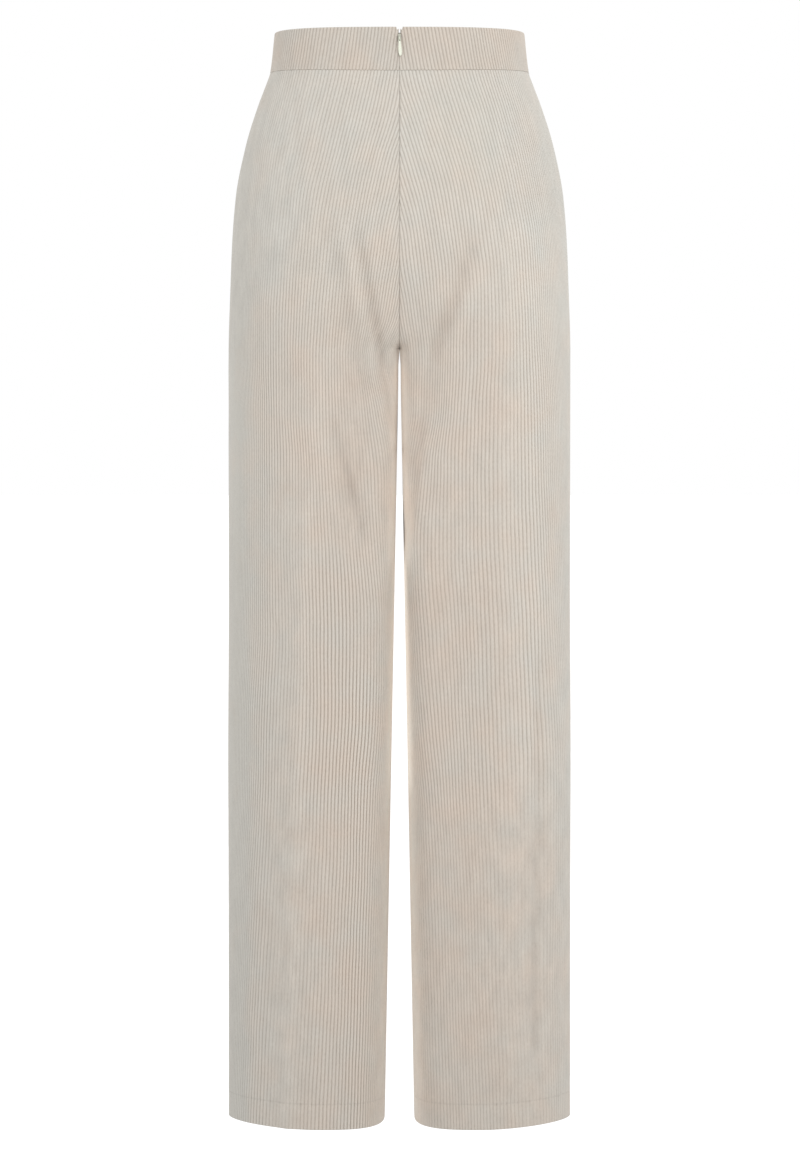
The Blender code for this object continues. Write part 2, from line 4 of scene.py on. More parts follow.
import bmesh
import bpy
import numpy as np
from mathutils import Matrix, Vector


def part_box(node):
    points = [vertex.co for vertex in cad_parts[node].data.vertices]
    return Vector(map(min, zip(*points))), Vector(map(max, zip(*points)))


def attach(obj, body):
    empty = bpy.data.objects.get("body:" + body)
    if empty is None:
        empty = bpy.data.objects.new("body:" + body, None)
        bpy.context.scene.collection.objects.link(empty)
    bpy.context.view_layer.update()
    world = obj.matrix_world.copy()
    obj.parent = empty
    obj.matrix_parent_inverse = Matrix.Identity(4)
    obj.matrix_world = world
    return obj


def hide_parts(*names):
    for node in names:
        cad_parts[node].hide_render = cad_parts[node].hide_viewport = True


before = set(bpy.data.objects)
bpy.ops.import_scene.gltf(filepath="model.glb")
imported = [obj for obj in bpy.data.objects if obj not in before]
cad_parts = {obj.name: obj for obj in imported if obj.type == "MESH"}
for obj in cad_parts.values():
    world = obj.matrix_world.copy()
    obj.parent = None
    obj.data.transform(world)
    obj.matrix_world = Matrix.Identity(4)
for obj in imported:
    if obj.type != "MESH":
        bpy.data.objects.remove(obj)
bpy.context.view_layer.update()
print("model loaded,", len(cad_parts), "nodes")

mm = 0.001
sideSigns = {"left": -1, "right": 1}
faceSigns = {"back": -1, "front": 1}

# The form of one half, in millimetres: a ring around a crest line for each height, cut
# off at the centre plane above the crotch and closed around the leg below it.
form = {
    "columns": ("height", "halfWidth", "crest", "inner", "back", "front",
                "outerPower", "innerPower"),
    "rows": np.array((
        (20, 122.0, 0, -122.0, 86.5, 86.0, 2.90, 2.90),
        (-19, 126.6, 0, -126.6, 91.5, 90.5, 2.80, 2.80),
        (-30, 130.5, 0, -130.5, 94.4, 92.0, 2.70, 2.70),
        (-50, 138.2, 0, -138.0, 99.5, 95.5, 2.60, 2.60),
        (-90, 150.8, 0, -151.0, 110.0, 100.5, 2.40, 2.40),
        (-140, 160.7, 2, -152.0, 119.0, 104.0, 2.30, 2.35),
        (-190, 164.6, 14, -115.0, 123.0, 105.5, 2.25, 2.45),
        (-240, 166.5, 45, -50.0, 121.0, 105.5, 2.15, 2.90),
        (-270, 167.6, 66, -28.0, 117.0, 105.0, 2.10, 4.80),
        (-284, 167.9, 74, -9.0, 114.2, 104.7, 2.06, 7.00),
        (-290, 168.0, 77, 0.15, 113.0, 104.5, 2.05, 9.00),
        (-300, 168.0, 78, 1.0, 112.0, 104.2, 2.04, 9.00),
        (-330, 168.0, 79, 1.35, 109.0, 103.5, 2.00, 8.60),
        (-400, 168.0, 80, 2.6, 104.5, 102.0, 1.90, 7.00),
        (-520, 168.0, 80, 4.8, 101.0, 100.0, 1.80, 5.50),
        (-700, 169.0, 80, 8.2, 97.0, 97.0, 1.70, 4.40),
        (-880, 168.8, 81, 11.5, 93.0, 94.0, 1.65, 3.80),
        (-1050, 169.0, 81, 14.6, 90.0, 91.0, 1.60, 3.00),
    )),
    "waistTop": 20.0,
    "waistSeam": -19.0,
    "crotch": -290.0,
    "hem": -1050.0,
    "seamGap": 0.3,
    "zipMouth": {"height": (2.5, 5.0, 14.5, 20.0), "halfOpening": (0.15, 1.0, 1.3, 3.4)},
    "dip": 3.2,  # of the waist seam at the centre back
    "dipEnd": -115.0,
    "ringSteps": 600,
}

cloth = {
    "perWale": 6,        # columns of points for each wale
    "wale": 3.6,         # a wale's usual width
    "crown": 0.62,       # under 1 makes broad wales and narrow grooves
    "stray": 0.16,       # how far a wale strays from its line, in wales
    "relief": 0.75,      # from a groove up to a wale's crown
    "reliefFade": 0.3,   # from a seam to a wale's full height
    "crushLoss": 0.5,    # share of the relief that a full crush takes away
    "crushLeast": -0.4,  # a crush below this raises the wales no further
    "foldFade": 12.0,    # from a seam to a fold's full depth
    "flankTurn": 0.5,    # how far cloth faces the other leg before it draws back
    "flankFade": 12.0,   # from the crotch down to where it is fully drawn back
    "edgeHeld": 1.5,     # from a centre edge to where cloth moves sideways too
    "reach": 0.14,       # how far each edge reaches into its seam's gap
    "rowStep": 7.8,      # down a panel
    "bandStep": 2.4,     # down the waistband
    "panelWall": 1.8,
    "waistbandWall": 2.4,
    "topBand": 1.0,      # at a piece's top, with the waistband's wall
    "hemWall": 2.6,
    "hemDepth": 25.0,
    "walesToPrick": 3,   # from one blind stitch of the hem to the next
    "prickPower": 8,     # a higher one makes shorter pricks
    "stitchAbove": 0.2,  # above the turned-up hem
    "stitchWidth": 0.8,
    "stitchDepth": 0.3,
    # painted shade in the stitches' pricks
    "stitchShade": -0.10,
    "seamRoll": 0.13,    # radius with which an edge rolls into its seam
    "edgeRoll": 1.15,    # radius of the folded waist edge and hem
}

# Marks in the cloth. Each lies along a line from one height and x to another. A fold
# dies away on both sides of its line; outward and inward fill the cloth beyond it.
# A mark's tone is painted light: painted shade along troughs, painted highlights along ridges,
# and painted light along the legs' inner edges, where the legs shade each other.
markColumns = ("shape", "top", "xTop", "bottom", "xBottom", "width",
               "depth", "tone", "warmth", "crush")
marks = {
    ("back", "left"): (
        # the ridge down the leg with a painted highlight, the duller cloth outside it and the
        # bold wales inside
        ("fold", -440, 90, -1060, 110, 8, 2.4, 0.03, 0, 0.1),
        ("outward", -420, 92, -1090, 112, 6, 0, 0, -0.2, 0.3),
        ("outward", -300, 122, -1090, 128, 8, 0, 0, 0, -0.8),
        ("fold", -500, 62, -1090, 72, 24, 0, 0, 0.1, -0.5),
        ("fold", -600, 36, -1090, 42, 14, 0, 0, 0, -1.0),
        ("fold", -270, 76, -430, 74, 14, 0, 0.02, 0, 0),
        # troughs from the seat into the thigh, with painted shade along them and a painted
        # highlight on the ridge between
        ("fold", -270, 38, -480, 50, 14, -1.8, -0.03, 0.1, 0.5),
        ("fold", -355, 68, -480, 34, 7, -3.4, -0.05, 0, 0.1),
        ("fold", -185, 40, -310, 15, 6, -3.0, -0.06, 0.1, 0),
        ("fold", -190, 50, -330, 26, 7, 1.8, 0.03, 0, 0),
        ("fold", -185, 67, -280, 47, 9, -1.8, -0.03, 0, 0),
        ("fold", -250, 26, -370, 6, 5, -1.6, -0.03, 0.3, 0.3),
        # the washed-out patch on the hip, partly a painted highlight, the brushed edges of the
        # leg, painted shade near the crotch and painted light along the inner edge
        ("fold", -20, 108, -230, 132, 26, 0, 0.02, -0.6, 0.45),
        ("fold", 10, 60, -210, 80, 40, 0, 0, 0, 0.15),
        ("outward", -150, 104, -1090, 106, 30, 0, 0, -0.5, 0),
        ("outward", -60, 146, -1090, 148, 5, 0, -0.01, -0.9, 0.3),
        ("inward", -270, 22, -480, 20, 5, 0, -0.02, 0.2, 0.3),
        ("inward", -300, 8, -1090, 23, 4, 0, 0.05, -0.2, 0),
        ("fold", -740, 84, -1130, 84, 90, 0, 0, 0, 0.5),
    ),
    ("back", "right"): (
        # painted shade in the troughs, painted highlights on the ridges and right of the boundary
        # down the leg, and painted light along the inner edge
        ("fold", -185, 74, -290, 37, 7, -3.2, -0.07, 0.2, 0.2),
        ("fold", -190, 88, -300, 50, 8, 1.8, 0.02, 0, 0),
        ("fold", -270, 38, -480, 7, 7, -3.0, -0.04, 0.2, 0.3),
        ("fold", -365, 27, -480, 12, 5, 1.8, 0.04, 0, 0),
        ("fold", -183, 100, -1010, 108, 12, 2.0, 0.01, 0, 0.2),
        ("fold", -160, 128, -740, 132, 18, 0, 0.02, -0.1, -0.3),
        ("fold", -700, 128, -1090, 134, 16, 0, 0, 0, 0.45),
        ("fold", -590, 136, -985, 132, 5, -2.2, -0.05, 0, 0.3),
        ("fold", -560, 146, -820, 148, 6, 0, 0, 0, 0.3),
        ("outward", -160, 101, -1090, 109, 4, 0, 0.02, -0.1, 0),
        ("outward", -60, 120, -800, 122, 24, 0, 0, -0.3, 0),
        ("outward", -60, 152, -1090, 154, 6, 0, 0, -0.5, 0.2),
        ("inward", -250, 26, -420, 24, 7, 0, -0.03, 0.2, 0.2),
        ("fold", -420, 44, -620, 40, 16, 0, -0.01, 0.1, 0.2),
        ("inward", -300, 8, -1090, 24, 4, 0, 0.12, -0.2, 0),
        ("fold", -740, 84, -1130, 84, 90, 0, 0, 0, 0.4),
    ),
    ("front", "left"): (
        # folds in front, with painted shade in the troughs and a painted highlight on each ridge
        ("fold", -400, 88, -1060, 96, 11, 2.0, 0.02, 0, -0.2),
        ("fold", -200, 62, -300, 26, 10, -1.8, -0.03, 0, 0),
        ("fold", -330, 58, -470, 30, 9, -2.0, -0.04, 0, 0.3),
        ("outward", -120, 152, -1090, 152, 5, 0, 0, -0.8, 0.6),
    ),
    ("front", "right"): (
        ("fold", -380, 92, -1060, 100, 11, 2.2, 0.02, 0, -0.2),
        ("fold", -200, 58, -290, 28, 9, -1.8, -0.03, 0, 0),
        ("fold", -340, 62, -500, 28, 10, -2.2, -0.04, 0, 0.3),
        ("outward", -120, 152, -1090, 152, 5, 0, 0, -0.8, 0.6),
    ),
}
markEnding = 45.0                    # length over which a mark's ends die away

# Where the wales run: for each height, x of every eighth wale from the 16th outside the
# leg's straight one to the 32nd towards the centre.
waleLines = {
    "apart": 8,
    "first": -16,
    "left": np.array((
        (20, 90, 64, 38, 11, -19, -49, -78),
        (-20, 97, 71, 44, 18, -12, -40, -69),
        (-60, 106, 80, 53, 26, -2, -30, -58),
        (-100, 115, 89, 62, 36, 11, -18, -45),
        (-140, 121, 98, 72, 45, 20, -6, -32),
        (-180, 125, 102, 78, 52, 28, 4, -21),
        (-220, 127, 105, 81, 57, 33, 11, -15),
        (-260, 129, 107, 84, 60, 37, 17, -5),
        (-300, 129, 108, 86, 63, 42, 27, 12),
        (-350, 128, 108, 86, 62, 39, 19, -3),
        (-400, 128, 106, 84, 60, 35, 10, -19),
        (-480, 128, 106, 82, 55, 30, 3, -24),
        (-560, 128, 104, 80, 51, 25, -2, -29),
        (-640, 131, 106, 80, 52, 26, -1, -27),
        (-720, 133, 109, 83, 56, 31, 7, -19),
        (-800, 137, 112, 86, 58, 34, 12, -13),
        (-900, 142, 117, 90, 62, 37, 15, -10),
        (-1050, 149, 124, 97, 68, 42, 17, -10),
    )),
    "right": np.array((
        (20, 77, 52, 25, -4, -34, -63, -93),
        (-20, 85, 60, 33, 4, -26, -56, -86),
        (-60, 97, 72, 44, 16, -15, -46, -76),
        (-100, 108, 83, 56, 28, -2, -33, -64),
        (-140, 117, 93, 67, 39, 11, -20, -50),
        (-180, 124, 100, 73, 46, 20, -10, -39),
        (-220, 127, 103, 77, 51, 25, -3, -31),
        (-260, 129, 105, 78, 52, 29, 5, -20),
        (-300, 131, 106, 78, 52, 32, 11, -11),
        (-350, 133, 106, 76, 50, 31, 11, -9),
        (-400, 134, 106, 75, 46, 23, 0, -22),
        (-480, 137, 107, 76, 46, 17, -14, -44),
        (-560, 141, 111, 79, 50, 21, -10, -40),
        (-640, 145, 114, 82, 54, 27, -1, -30),
        (-720, 148, 116, 85, 58, 34, 10, -17),
        (-800, 148, 118, 88, 62, 39, 16, -9),
        (-900, 147, 119, 90, 65, 42, 20, -5),
        (-1050, 150, 124, 95, 70, 47, 24, -1),
    )),
    "front": np.array((
        (20, 106, 79, 52, 25, -2, -29, -56),
        (-100, 116, 89, 62, 35, 8, -19, -46),
        (-250, 132, 104, 76, 48, 20, -8, -36),
        (-400, 139, 110, 80, 50, 20, -10, -40),
        (-1050, 145, 114, 84, 54, 24, -6, -36),
    )),
    "outerPitch": 0.88,  # of the wales outside the lines, against those inside
    "margin": 9,         # over which lines near the inner edge turn even
    "marginGap": 0.3,    # share of the margin in which they are even
    "before": 6,         # even lines added outside and inside
    "after": 4,
    "most": 80,          # wales looked for towards the centre
    "spare": 3,          # wales kept beyond both edges
}

# Slow waves that move the wales and the surface a little: how often each runs across
# (per wale) and down (per millimetre), its phase and its share.
waveColumns = ("across", "down", "phase", "share")
waves = (
    (0.210, 0.0260, 0.4, 0.30),
    (0.370, 0.0110, 1.9, 0.25),
    (0.093, 0.0430, 3.1, 0.25),
    (0.550, 0.0190, 4.4, 0.20),
    (0.310, 0.0900, 0.9, 0.22),
    (0.830, 0.1500, 2.6, 0.12),
)


def smoothTable(rows, height):
    # a cubic through a table's rows, which start with their height; its slope in a row is
    # the harmonic mean of the slopes on both sides, or level where a column turns
    heights, values = rows[::-1, 0], rows[::-1, 1:]
    chords = np.diff(values, axis=0) / np.diff(heights)[:, None]
    before, after = chords[:-1], chords[1:]
    product = np.maximum(before * after, 0)
    turning = np.where(product > 0, 2 * product / np.where(product > 0, before + after, 1), 0)
    slopes = np.concatenate((chords[:1], turning, chords[-1:]))
    height = np.clip(height, heights[0], heights[-1])
    row = np.clip(np.searchsorted(heights, height) - 1, 0, len(heights) - 2)
    span = (heights[row + 1] - heights[row])[..., None]
    t = (height - heights[row])[..., None] / span
    rise = t * t * (3 - 2 * t)
    return (values[row] * (1 - rise) + values[row + 1] * rise
            + span * slopes[row] * t * (1 - t) ** 2
            - span * slopes[row + 1] * t * t * (1 - t))


def sectionAt(name, height):
    # one column of the form's table
    return smoothTable(form["rows"], height)[..., form["columns"].index(name) - 1]


def centreEdge(face, height, seamed=True):
    # x of the edge at the centre plane: half a seam, or half the zip's mouth
    if not seamed:
        return np.zeros_like(height)
    half = np.full_like(height, form["seamGap"] / 2)
    if face == "back":
        mouth = form["zipMouth"]
        half = np.interp(height, mouth["height"], mouth["halfOpening"])
    return half - cloth["reach"]


def ringsAt(face, height, seamed=True):
    # one row for each height: a superellipse quarter from the side to the crest and
    # another from the crest inwards, as far as the centre edge
    value = {name: sectionAt(name, height)[:, None] for name in form["columns"][1:]}
    outerReach = value["halfWidth"] - value["crest"]
    innerReach = value["crest"] - value["inner"]
    edge = centreEdge(face, height, seamed)[:, None] - value["crest"]
    outerCut = np.clip(edge / outerReach, 0, 1) ** (value["outerPower"] / 2)
    innerCut = np.clip(-edge / innerReach, 0, 1) ** (value["innerPower"] / 2)
    last = np.arccos(np.where(edge > 0, outerCut, -innerCut))
    angle = last * np.linspace(0, 1, form["ringSteps"])
    outer = angle <= np.pi / 2
    power = 2 / np.where(outer, value["outerPower"], value["innerPower"])
    x = value["crest"] + np.where(outer, outerReach, -innerReach) * np.abs(np.cos(angle)) ** power
    depth = value[face] * np.abs(np.sin(angle)) ** power
    step = np.hypot(np.diff(x, axis=1), np.diff(depth, axis=1))
    length = np.concatenate((np.zeros((len(height), 1)), np.cumsum(step, axis=1)), axis=1)
    alongX, alongDepth = np.gradient(x, axis=1), np.gradient(depth, axis=1)
    size = np.hypot(alongX, alongDepth)
    return {"x": x, "depth": depth, "length": length,
            "outX": alongDepth / size, "outDepth": -alongX / size}


def readRings(rings, key, wanted, names):
    # values where each ring's key reaches what is wanted; the rings are laid end to end,
    # ten metres apart, so that one interpolation reads them all
    shift = 10000.0 * np.arange(len(wanted))[:, None]
    at = (wanted + shift).ravel()
    line = (key + shift).ravel()
    return [np.interp(at, line, rings[name].ravel()).reshape(wanted.shape) for name in names]


def waleLengths(face, side, rings, height, wale):
    # length along each ring to each wale: a Catmull-Rom curve through the lines of every
    # eighth wale. Lines near the inner edge turn even, and even ones follow past both ends.
    lines = smoothTable(waleLines["front" if face == "front" else side], height)
    length, = readRings(rings, -rings["x"], -lines, ("length",))
    fromEdge = (lines - rings["x"][:, -1:]) / waleLines["margin"]
    inCloth = np.clip(fromEdge - waleLines["marginGap"], 0, 1)
    for k in range(2, lines.shape[1]):
        even = 2 * length[:, k - 1] - length[:, k - 2]
        length[:, k] = even + inCloth[:, k] * (length[:, k] - even)
    outerStep = waleLines["outerPitch"] * (length[:, 1:2] - length[:, :1])
    outwards = np.arange(-waleLines["before"], 0) * outerStep
    inwards = np.arange(1, waleLines["after"] + 1) * (length[:, -1:] - length[:, -2:-1])
    nodes = np.concatenate((length[:, :1] + outwards, length, length[:, -1:] + inwards), axis=1)
    place = (wale - waleLines["first"]) / waleLines["apart"] + waleLines["before"]
    place = np.broadcast_to(place, np.broadcast(place, height[:, None]).shape)
    node = np.clip(np.floor(place).astype(int), 1, nodes.shape[1] - 3)
    a, b, c, d = (np.take_along_axis(nodes, node + k, axis=1) for k in (-1, 0, 1, 2))
    t = place - node
    return b + t / 2 * (c - a + t * (2 * a - 5 * b + 4 * c - d + t * (3 * (b - c) + d - a)))


def slowWaves(wale, height):
    # a sum of a few sines of the wale number and the height
    total = 0
    for row in waves:
        wave = dict(zip(waveColumns, row))
        total = total + wave["share"] * np.sin(wave["across"] * wale + wave["down"] * height
                                               + wave["phase"])
    return total


def marksAt(face, side, x, height):
    # each mark: a bell or a soft step across its line, faded out at its two ends
    total = {name: np.zeros(np.broadcast(x, height).shape) for name in markColumns[6:]}
    for row in marks[face, side]:
        mark = dict(zip(markColumns, row))
        line = np.interp(height, (mark["bottom"], mark["top"]), (mark["xBottom"], mark["xTop"]))
        across = (x - line) / mark["width"]
        if mark["shape"] == "fold":
            share = np.exp(-across ** 2)
        else:
            sign = 1 if mark["shape"] == "outward" else -1
            share = 0.5 + 0.5 * np.tanh(sign * across)
        inside = np.minimum(mark["top"] - height, height - mark["bottom"])
        fade = np.clip(inside / markEnding + 0.5, 0, 1)
        share = share * fade * fade * (3 - 2 * fade)
        for name in total:
            total[name] += share * mark[name]
    return total


def rolled(distance, radius):
    # how far a rounded edge drops, at a distance from it: a quarter circle
    rest = radius - np.clip(distance, 0, radius)
    return radius - np.sqrt(radius ** 2 - rest ** 2)


def lowered(face, x, height):
    # the centre-back dip of the waist seam, dying away above and below it
    if face == "front":
        return height + 0 * x
    across = np.clip(1 - (x / sectionAt("halfWidth", height)) ** 2, 0, 1)
    share = np.interp(height, (form["dipEnd"], form["waistSeam"], form["waistTop"]), (0, 1, 0))
    return height - form["dip"] * across * share


def clothLayer(face, side, height, wale, piece, inside):
    # points of one side of a wall on a grid of heights and wale numbers. Outside, a wale
    # is a power of a half sine of its number, on top of the folds.
    seamed = piece.get("seamed", True)
    rings = ringsAt(face, height, seamed)
    down = height[:, None]
    last = rings["length"][:, -1:]
    stray = 0 if inside else cloth["stray"] * slowWaves(wale, down)
    length = waleLengths(face, side, rings, height, wale + piece["shift"] + stray)
    first = (length <= 0).sum(axis=1) - 1
    beyond = (length < last).sum(axis=1)
    length = np.clip(length, 0, last)
    x, depth, outX, outDepth = readRings(rings, rings["length"], length,
                                         ("x", "depth", "outX", "outDepth"))
    toSide = length
    toCentre = last - length if seamed else np.full_like(length, np.inf)
    toSeam = np.minimum(toSide, toCentre)
    toTop, toFoot = height[0] - down, down - height[-1]
    mark = marksAt(face, side, x, down)
    move = mark["depth"] * (1 - np.exp(-(toSeam / cloth["foldFade"]) ** 2))
    if piece.get("hem") and not inside:
        # the blind stitches of the hem: a faint groove that a prick deepens every few wales, with
        # painted shade in the pricks
        above = toFoot - cloth["hemDepth"] - cloth["stitchAbove"]
        stitch = np.exp(-(above / cloth["stitchWidth"]) ** 2)
        beat = np.cos(2 * np.pi * wale / cloth["walesToPrick"]) ** cloth["prickPower"]
        prick = stitch * (0.5 + 0.5 * beat)
        move = move - cloth["stitchDepth"] * prick
        mark["tone"] = mark["tone"] + cloth["stitchShade"] * prick
    roll = np.maximum(rolled(toTop, piece["topRoll"]), rolled(toFoot, piece["footRoll"]))
    if inside:
        topBand = down > height[0] - cloth["topBand"]
        wall = np.where(topBand, cloth["waistbandWall"], piece["wall"])
        if piece.get("hem"):
            wall = np.where(toFoot <= cloth["hemDepth"], cloth["hemWall"], wall)
        folded = np.where(toTop < toFoot, piece["topFolded"], piece["footFolded"])
        move = move - wall + roll * folded
        ridge = np.zeros_like(x)
    else:
        ridge = np.abs(np.sin(np.pi * wale)) ** cloth["crown"] + 0 * x
        nearEdge = np.minimum(np.minimum(toSeam, toTop), toFoot)
        fade = np.clip(nearEdge / cloth["reliefFade"], 0, 1)
        crush = mark["crush"].clip(cloth["crushLeast"], 1)
        relief = cloth["relief"] * (1 - cloth["crushLoss"] * crush)
        # where cloth faces the other leg it draws back by its relief, to keep the gap even
        facing = np.clip((-outX - cloth["flankTurn"]) / (1 - cloth["flankTurn"]), 0, 1)
        drawn = facing * np.clip((form["crotch"] - down) / cloth["flankFade"], 0, 1)
        move = move + relief * (ridge * fade - drawn)
        move = move - np.maximum(roll, rolled(toSeam, cloth["seamRoll"]))
    z = lowered(face, x, down)
    # an edge at the centre plane moves in depth alone, so that its seam stays closed
    sideways = np.where(down > form["crotch"], np.clip(toCentre / cloth["edgeHeld"], 0, 1), 1)
    x = np.maximum(x + move * outX * sideways, centreEdge(face, height, seamed)[:, None])
    y = form["seamGap"] / 2 - cloth["reach"] + depth + move * outDepth
    points = np.stack((sideSigns[side] * x, faceSigns[face] * y, z), axis=2) * mm
    # the marks' tone, painted light and shade along folds and inner edges, goes with the piece's
    # own tone
    values = {"ridge": ridge, "tone": mark["tone"] + piece["tone"],
              "warmth": mark["warmth"] + piece["warmth"],
              "crush": mark["crush"].clip(-1, 1)}
    uv = np.stack((cloth["wale"] * (wale + 0 * down), down + 0 * wale), axis=2) * mm
    return {"points": points, "values": values, "uv": uv, "first": first, "beyond": beyond}


def gridIndex(layer, start):
    # vertex numbers of a grid, with the columns past an edge taken as the edge's own
    rows, columns = layer["points"].shape[:2]
    column = np.clip(np.arange(columns)[None, :], layer["first"][:, None],
                     layer["beyond"][:, None])
    return start + np.arange(rows)[:, None] * columns + column


def gridTriangles(index):
    # two triangles for each cell of a grid
    a, b, c, d = index[:-1, :-1], index[:-1, 1:], index[1:, 1:], index[1:, :-1]
    return np.concatenate([np.stack(corners, axis=2).reshape(-1, 3)
                           for corners in ((a, b, c), (a, c, d))])


def rimTriangles(outer, inner, perWale):
    # joins an outer row to an inner one that has one column for each wale: every outer
    # step goes to its nearest inner point, every inner step to the outer point between
    k = np.arange(len(outer) - 1)
    m = np.arange(len(inner) - 1)
    near = inner[np.minimum((k + perWale // 2) // perWale, len(inner) - 1)]
    between = outer[np.minimum(m * perWale + perWale // 2, len(outer) - 1)]
    return np.concatenate((np.stack((outer[1:], outer[:-1], near), axis=1),
                           np.stack((inner[:-1], inner[1:], between), axis=1)))


def edgeTriangles(outer, inner):
    # joins two edges that have the same number of points
    first = np.stack((outer[:-1], outer[1:], inner[:-1]), axis=1)
    second = np.stack((outer[1:], inner[1:], inner[:-1]), axis=1)
    return np.concatenate((first, second))


def clothHalf(face, side, piece):
    # both sides of a wall and its rims as one closed set of triangles. Near the crotch the
    # left back panel has more wales than are looked for here, so it ends up to 11 mm short
    # of its side seam and up to 15 mm short of its inner leg seam.
    height = piece["heights"]
    rings = ringsAt(face, height, piece.get("seamed", True))
    wales = np.arange(-waleLines["before"] * waleLines["apart"], waleLines["most"])
    length = waleLengths(face, side, rings, height, wales[None, :])
    low = wales[(length > 0).any(axis=0)].min() - waleLines["spare"]
    high = wales[(length < rings["length"][:, -1:]).any(axis=0)].max() + waleLines["spare"]
    per = cloth["perWale"]
    fine = low + np.arange((high - low) * per + 1)[None, :] / per
    plain = np.arange(low, high + 1)[None, :]
    outside = clothLayer(face, side, height, fine, piece, False)
    within = clothLayer(face, side, height, plain, piece, True)
    outer = gridIndex(outside, 0)
    inner = gridIndex(within, fine.size * len(height))
    parts = [gridTriangles(outer), gridTriangles(inner)[:, ::-1],
             rimTriangles(outer[0], inner[0], per),
             rimTriangles(outer[-1], inner[-1], per)[:, ::-1],
             edgeTriangles(outer[:, 0], inner[:, 0])]
    if piece.get("seamed", True):
        parts.append(edgeTriangles(outer[:, -1], inner[:, -1])[:, ::-1])
    # only the second part is the wrong side
    insideFace = np.repeat([0, 1] + [0] * (len(parts) - 2), [len(part) for part in parts])
    triangles = np.concatenate(parts)
    if sideSigns[side] * faceSigns[face] < 0:
        triangles = triangles[:, ::-1]
    a, b, c = triangles.T
    real = (a != b) & (b != c) & (c != a)
    names = outside["values"]
    return {
        "points": np.concatenate([layer["points"].reshape(-1, 3) for layer in (outside, within)]),
        "uv": np.concatenate([layer["uv"].reshape(-1, 2) for layer in (outside, within)]),
        "values": {name: np.concatenate([layer["values"][name].ravel()
                                         for layer in (outside, within)]) for name in names},
        "triangles": triangles[real],
        "inside": insideFace[real],
    }


def joined(shapes):
    # several sets of triangles as one
    starts = np.cumsum([0] + [len(shape["points"]) for shape in shapes])
    whole = {name: np.concatenate([shape[name] for shape in shapes])
             for name in ("points", "uv", "inside") if name in shapes[0]}
    whole["values"] = {name: np.concatenate([shape["values"][name] for shape in shapes])
                       for name in shapes[0]["values"]}
    whole["triangles"] = np.concatenate([shape["triangles"] + start
                                         for shape, start in zip(shapes, starts)])
    return whole


def meshFrom(name, shape):
    # a smooth mesh of a shape: its points, triangles and what goes with them
    used, triangles = np.unique(shape["triangles"], return_inverse=True)
    triangles = triangles.reshape(-1, 3)
    points = shape["points"][used]
    mesh = bpy.data.meshes.new(name)
    mesh.vertices.add(len(points))
    mesh.vertices.foreach_set("co", points.ravel())
    mesh.loops.add(triangles.size)
    mesh.loops.foreach_set("vertex_index", triangles.ravel().astype(np.int32))
    mesh.polygons.add(len(triangles))
    mesh.polygons.foreach_set("loop_start", np.arange(0, triangles.size, 3, dtype=np.int32))
    if "inside" in shape:
        mesh.polygons.foreach_set("material_index", shape["inside"].astype(np.int32))
    mesh.update(calc_edges=True)
    mesh.shade_smooth()
    if "uv" in shape:
        layer = mesh.uv_layers.new(name="UVMap")
        layer.uv.foreach_set("vector", shape["uv"][used][triangles.ravel()].ravel())
    for key, value in shape.get("values", {}).items():
        layer = mesh.attributes.new(key, "FLOAT", "POINT")
        layer.data.foreach_set("value", value[used].astype(np.float32))
    return mesh


def welded(mesh, distance=0.001, solid=True):
    # points within a distance become one, and a solid's faces are then turned outwards
    work = bmesh.new()
    work.from_mesh(mesh)
    bmesh.ops.remove_doubles(work, verts=work.verts, dist=distance * mm)
    if solid:
        bmesh.ops.dissolve_degenerate(work, edges=work.edges, dist=distance / 2 * mm)
        bmesh.ops.recalc_face_normals(work, faces=work.faces)
    work.to_mesh(mesh)
    work.free()
    return mesh


def addPiece(mesh, materials, node, body="trousers"):
    # a mesh as an object that rides a body in place of the model's node
    piece = bpy.data.objects.new(mesh.name, mesh)
    bpy.context.scene.collection.objects.link(piece)
    for material in materials:
        mesh.materials.append(material)
    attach(piece, body)
    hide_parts(node)
    print(mesh.name, len(mesh.polygons), "triangles")
    return piece


# Materials. Each is a Principled shader with its colour worked out from the cloth's own
# attributes and a few noises.
corduroy = {
    # the wales' colours: the groove's is painted shade, the crown's is the cloth's own
    "groove": (0.330, 0.280, 0.228),
    "flank": (0.540, 0.494, 0.438),
    "crown": (0.690, 0.644, 0.583),
    "middle": 0.62,               # how high on a wale its flank's colour lies
    "grooveShadeContrast": 0.42,             # painted shade, between groove and crown
    "warm": (1.040, 0.978, 0.945),
    "cool": (0.955, 1.002, 1.030),
    "warmClouds": 2.4,            # between warm and cool, a finger across
    "clouds": 0.07,               # light and dark, a hand across
    "patches": 0.24,              # light and dark, a finger across, along the wales
    "patchCrush": 0.7,            # they end where the crush falls to minus this
    "fuzz": 0.35,                 # the pile's speckle, in the same measure as grooveShadeContrast
    "noises": {"fuzz": (900, 3.0), "speck": (1500, 1.0), "warmth": (26, 2.0),
               "clouds": (9, 3.0), "patches": (110, 4.0)},  # scale and detail
    "stretch": (1.0, 0.33, 1.0),  # of the fuzz and the patches, along the wales
    "footShade": -0.05,            # painted shade, deepening from the crotch down to the hem
    "hipWarmth": -0.45,           # below the waistband, growing down to the legs'
    "legWarmth": 0.40,
    "warmFrom": -0.06,            # metres
    "warmTo": -0.33,
    "roughness": 0.9,
    "sheen": 0.25,
    "sheenRoughness": 0.45,
    "specular": 0.15,
    "bump": (0.35, 0.0004),       # strength, and depth in metres
}


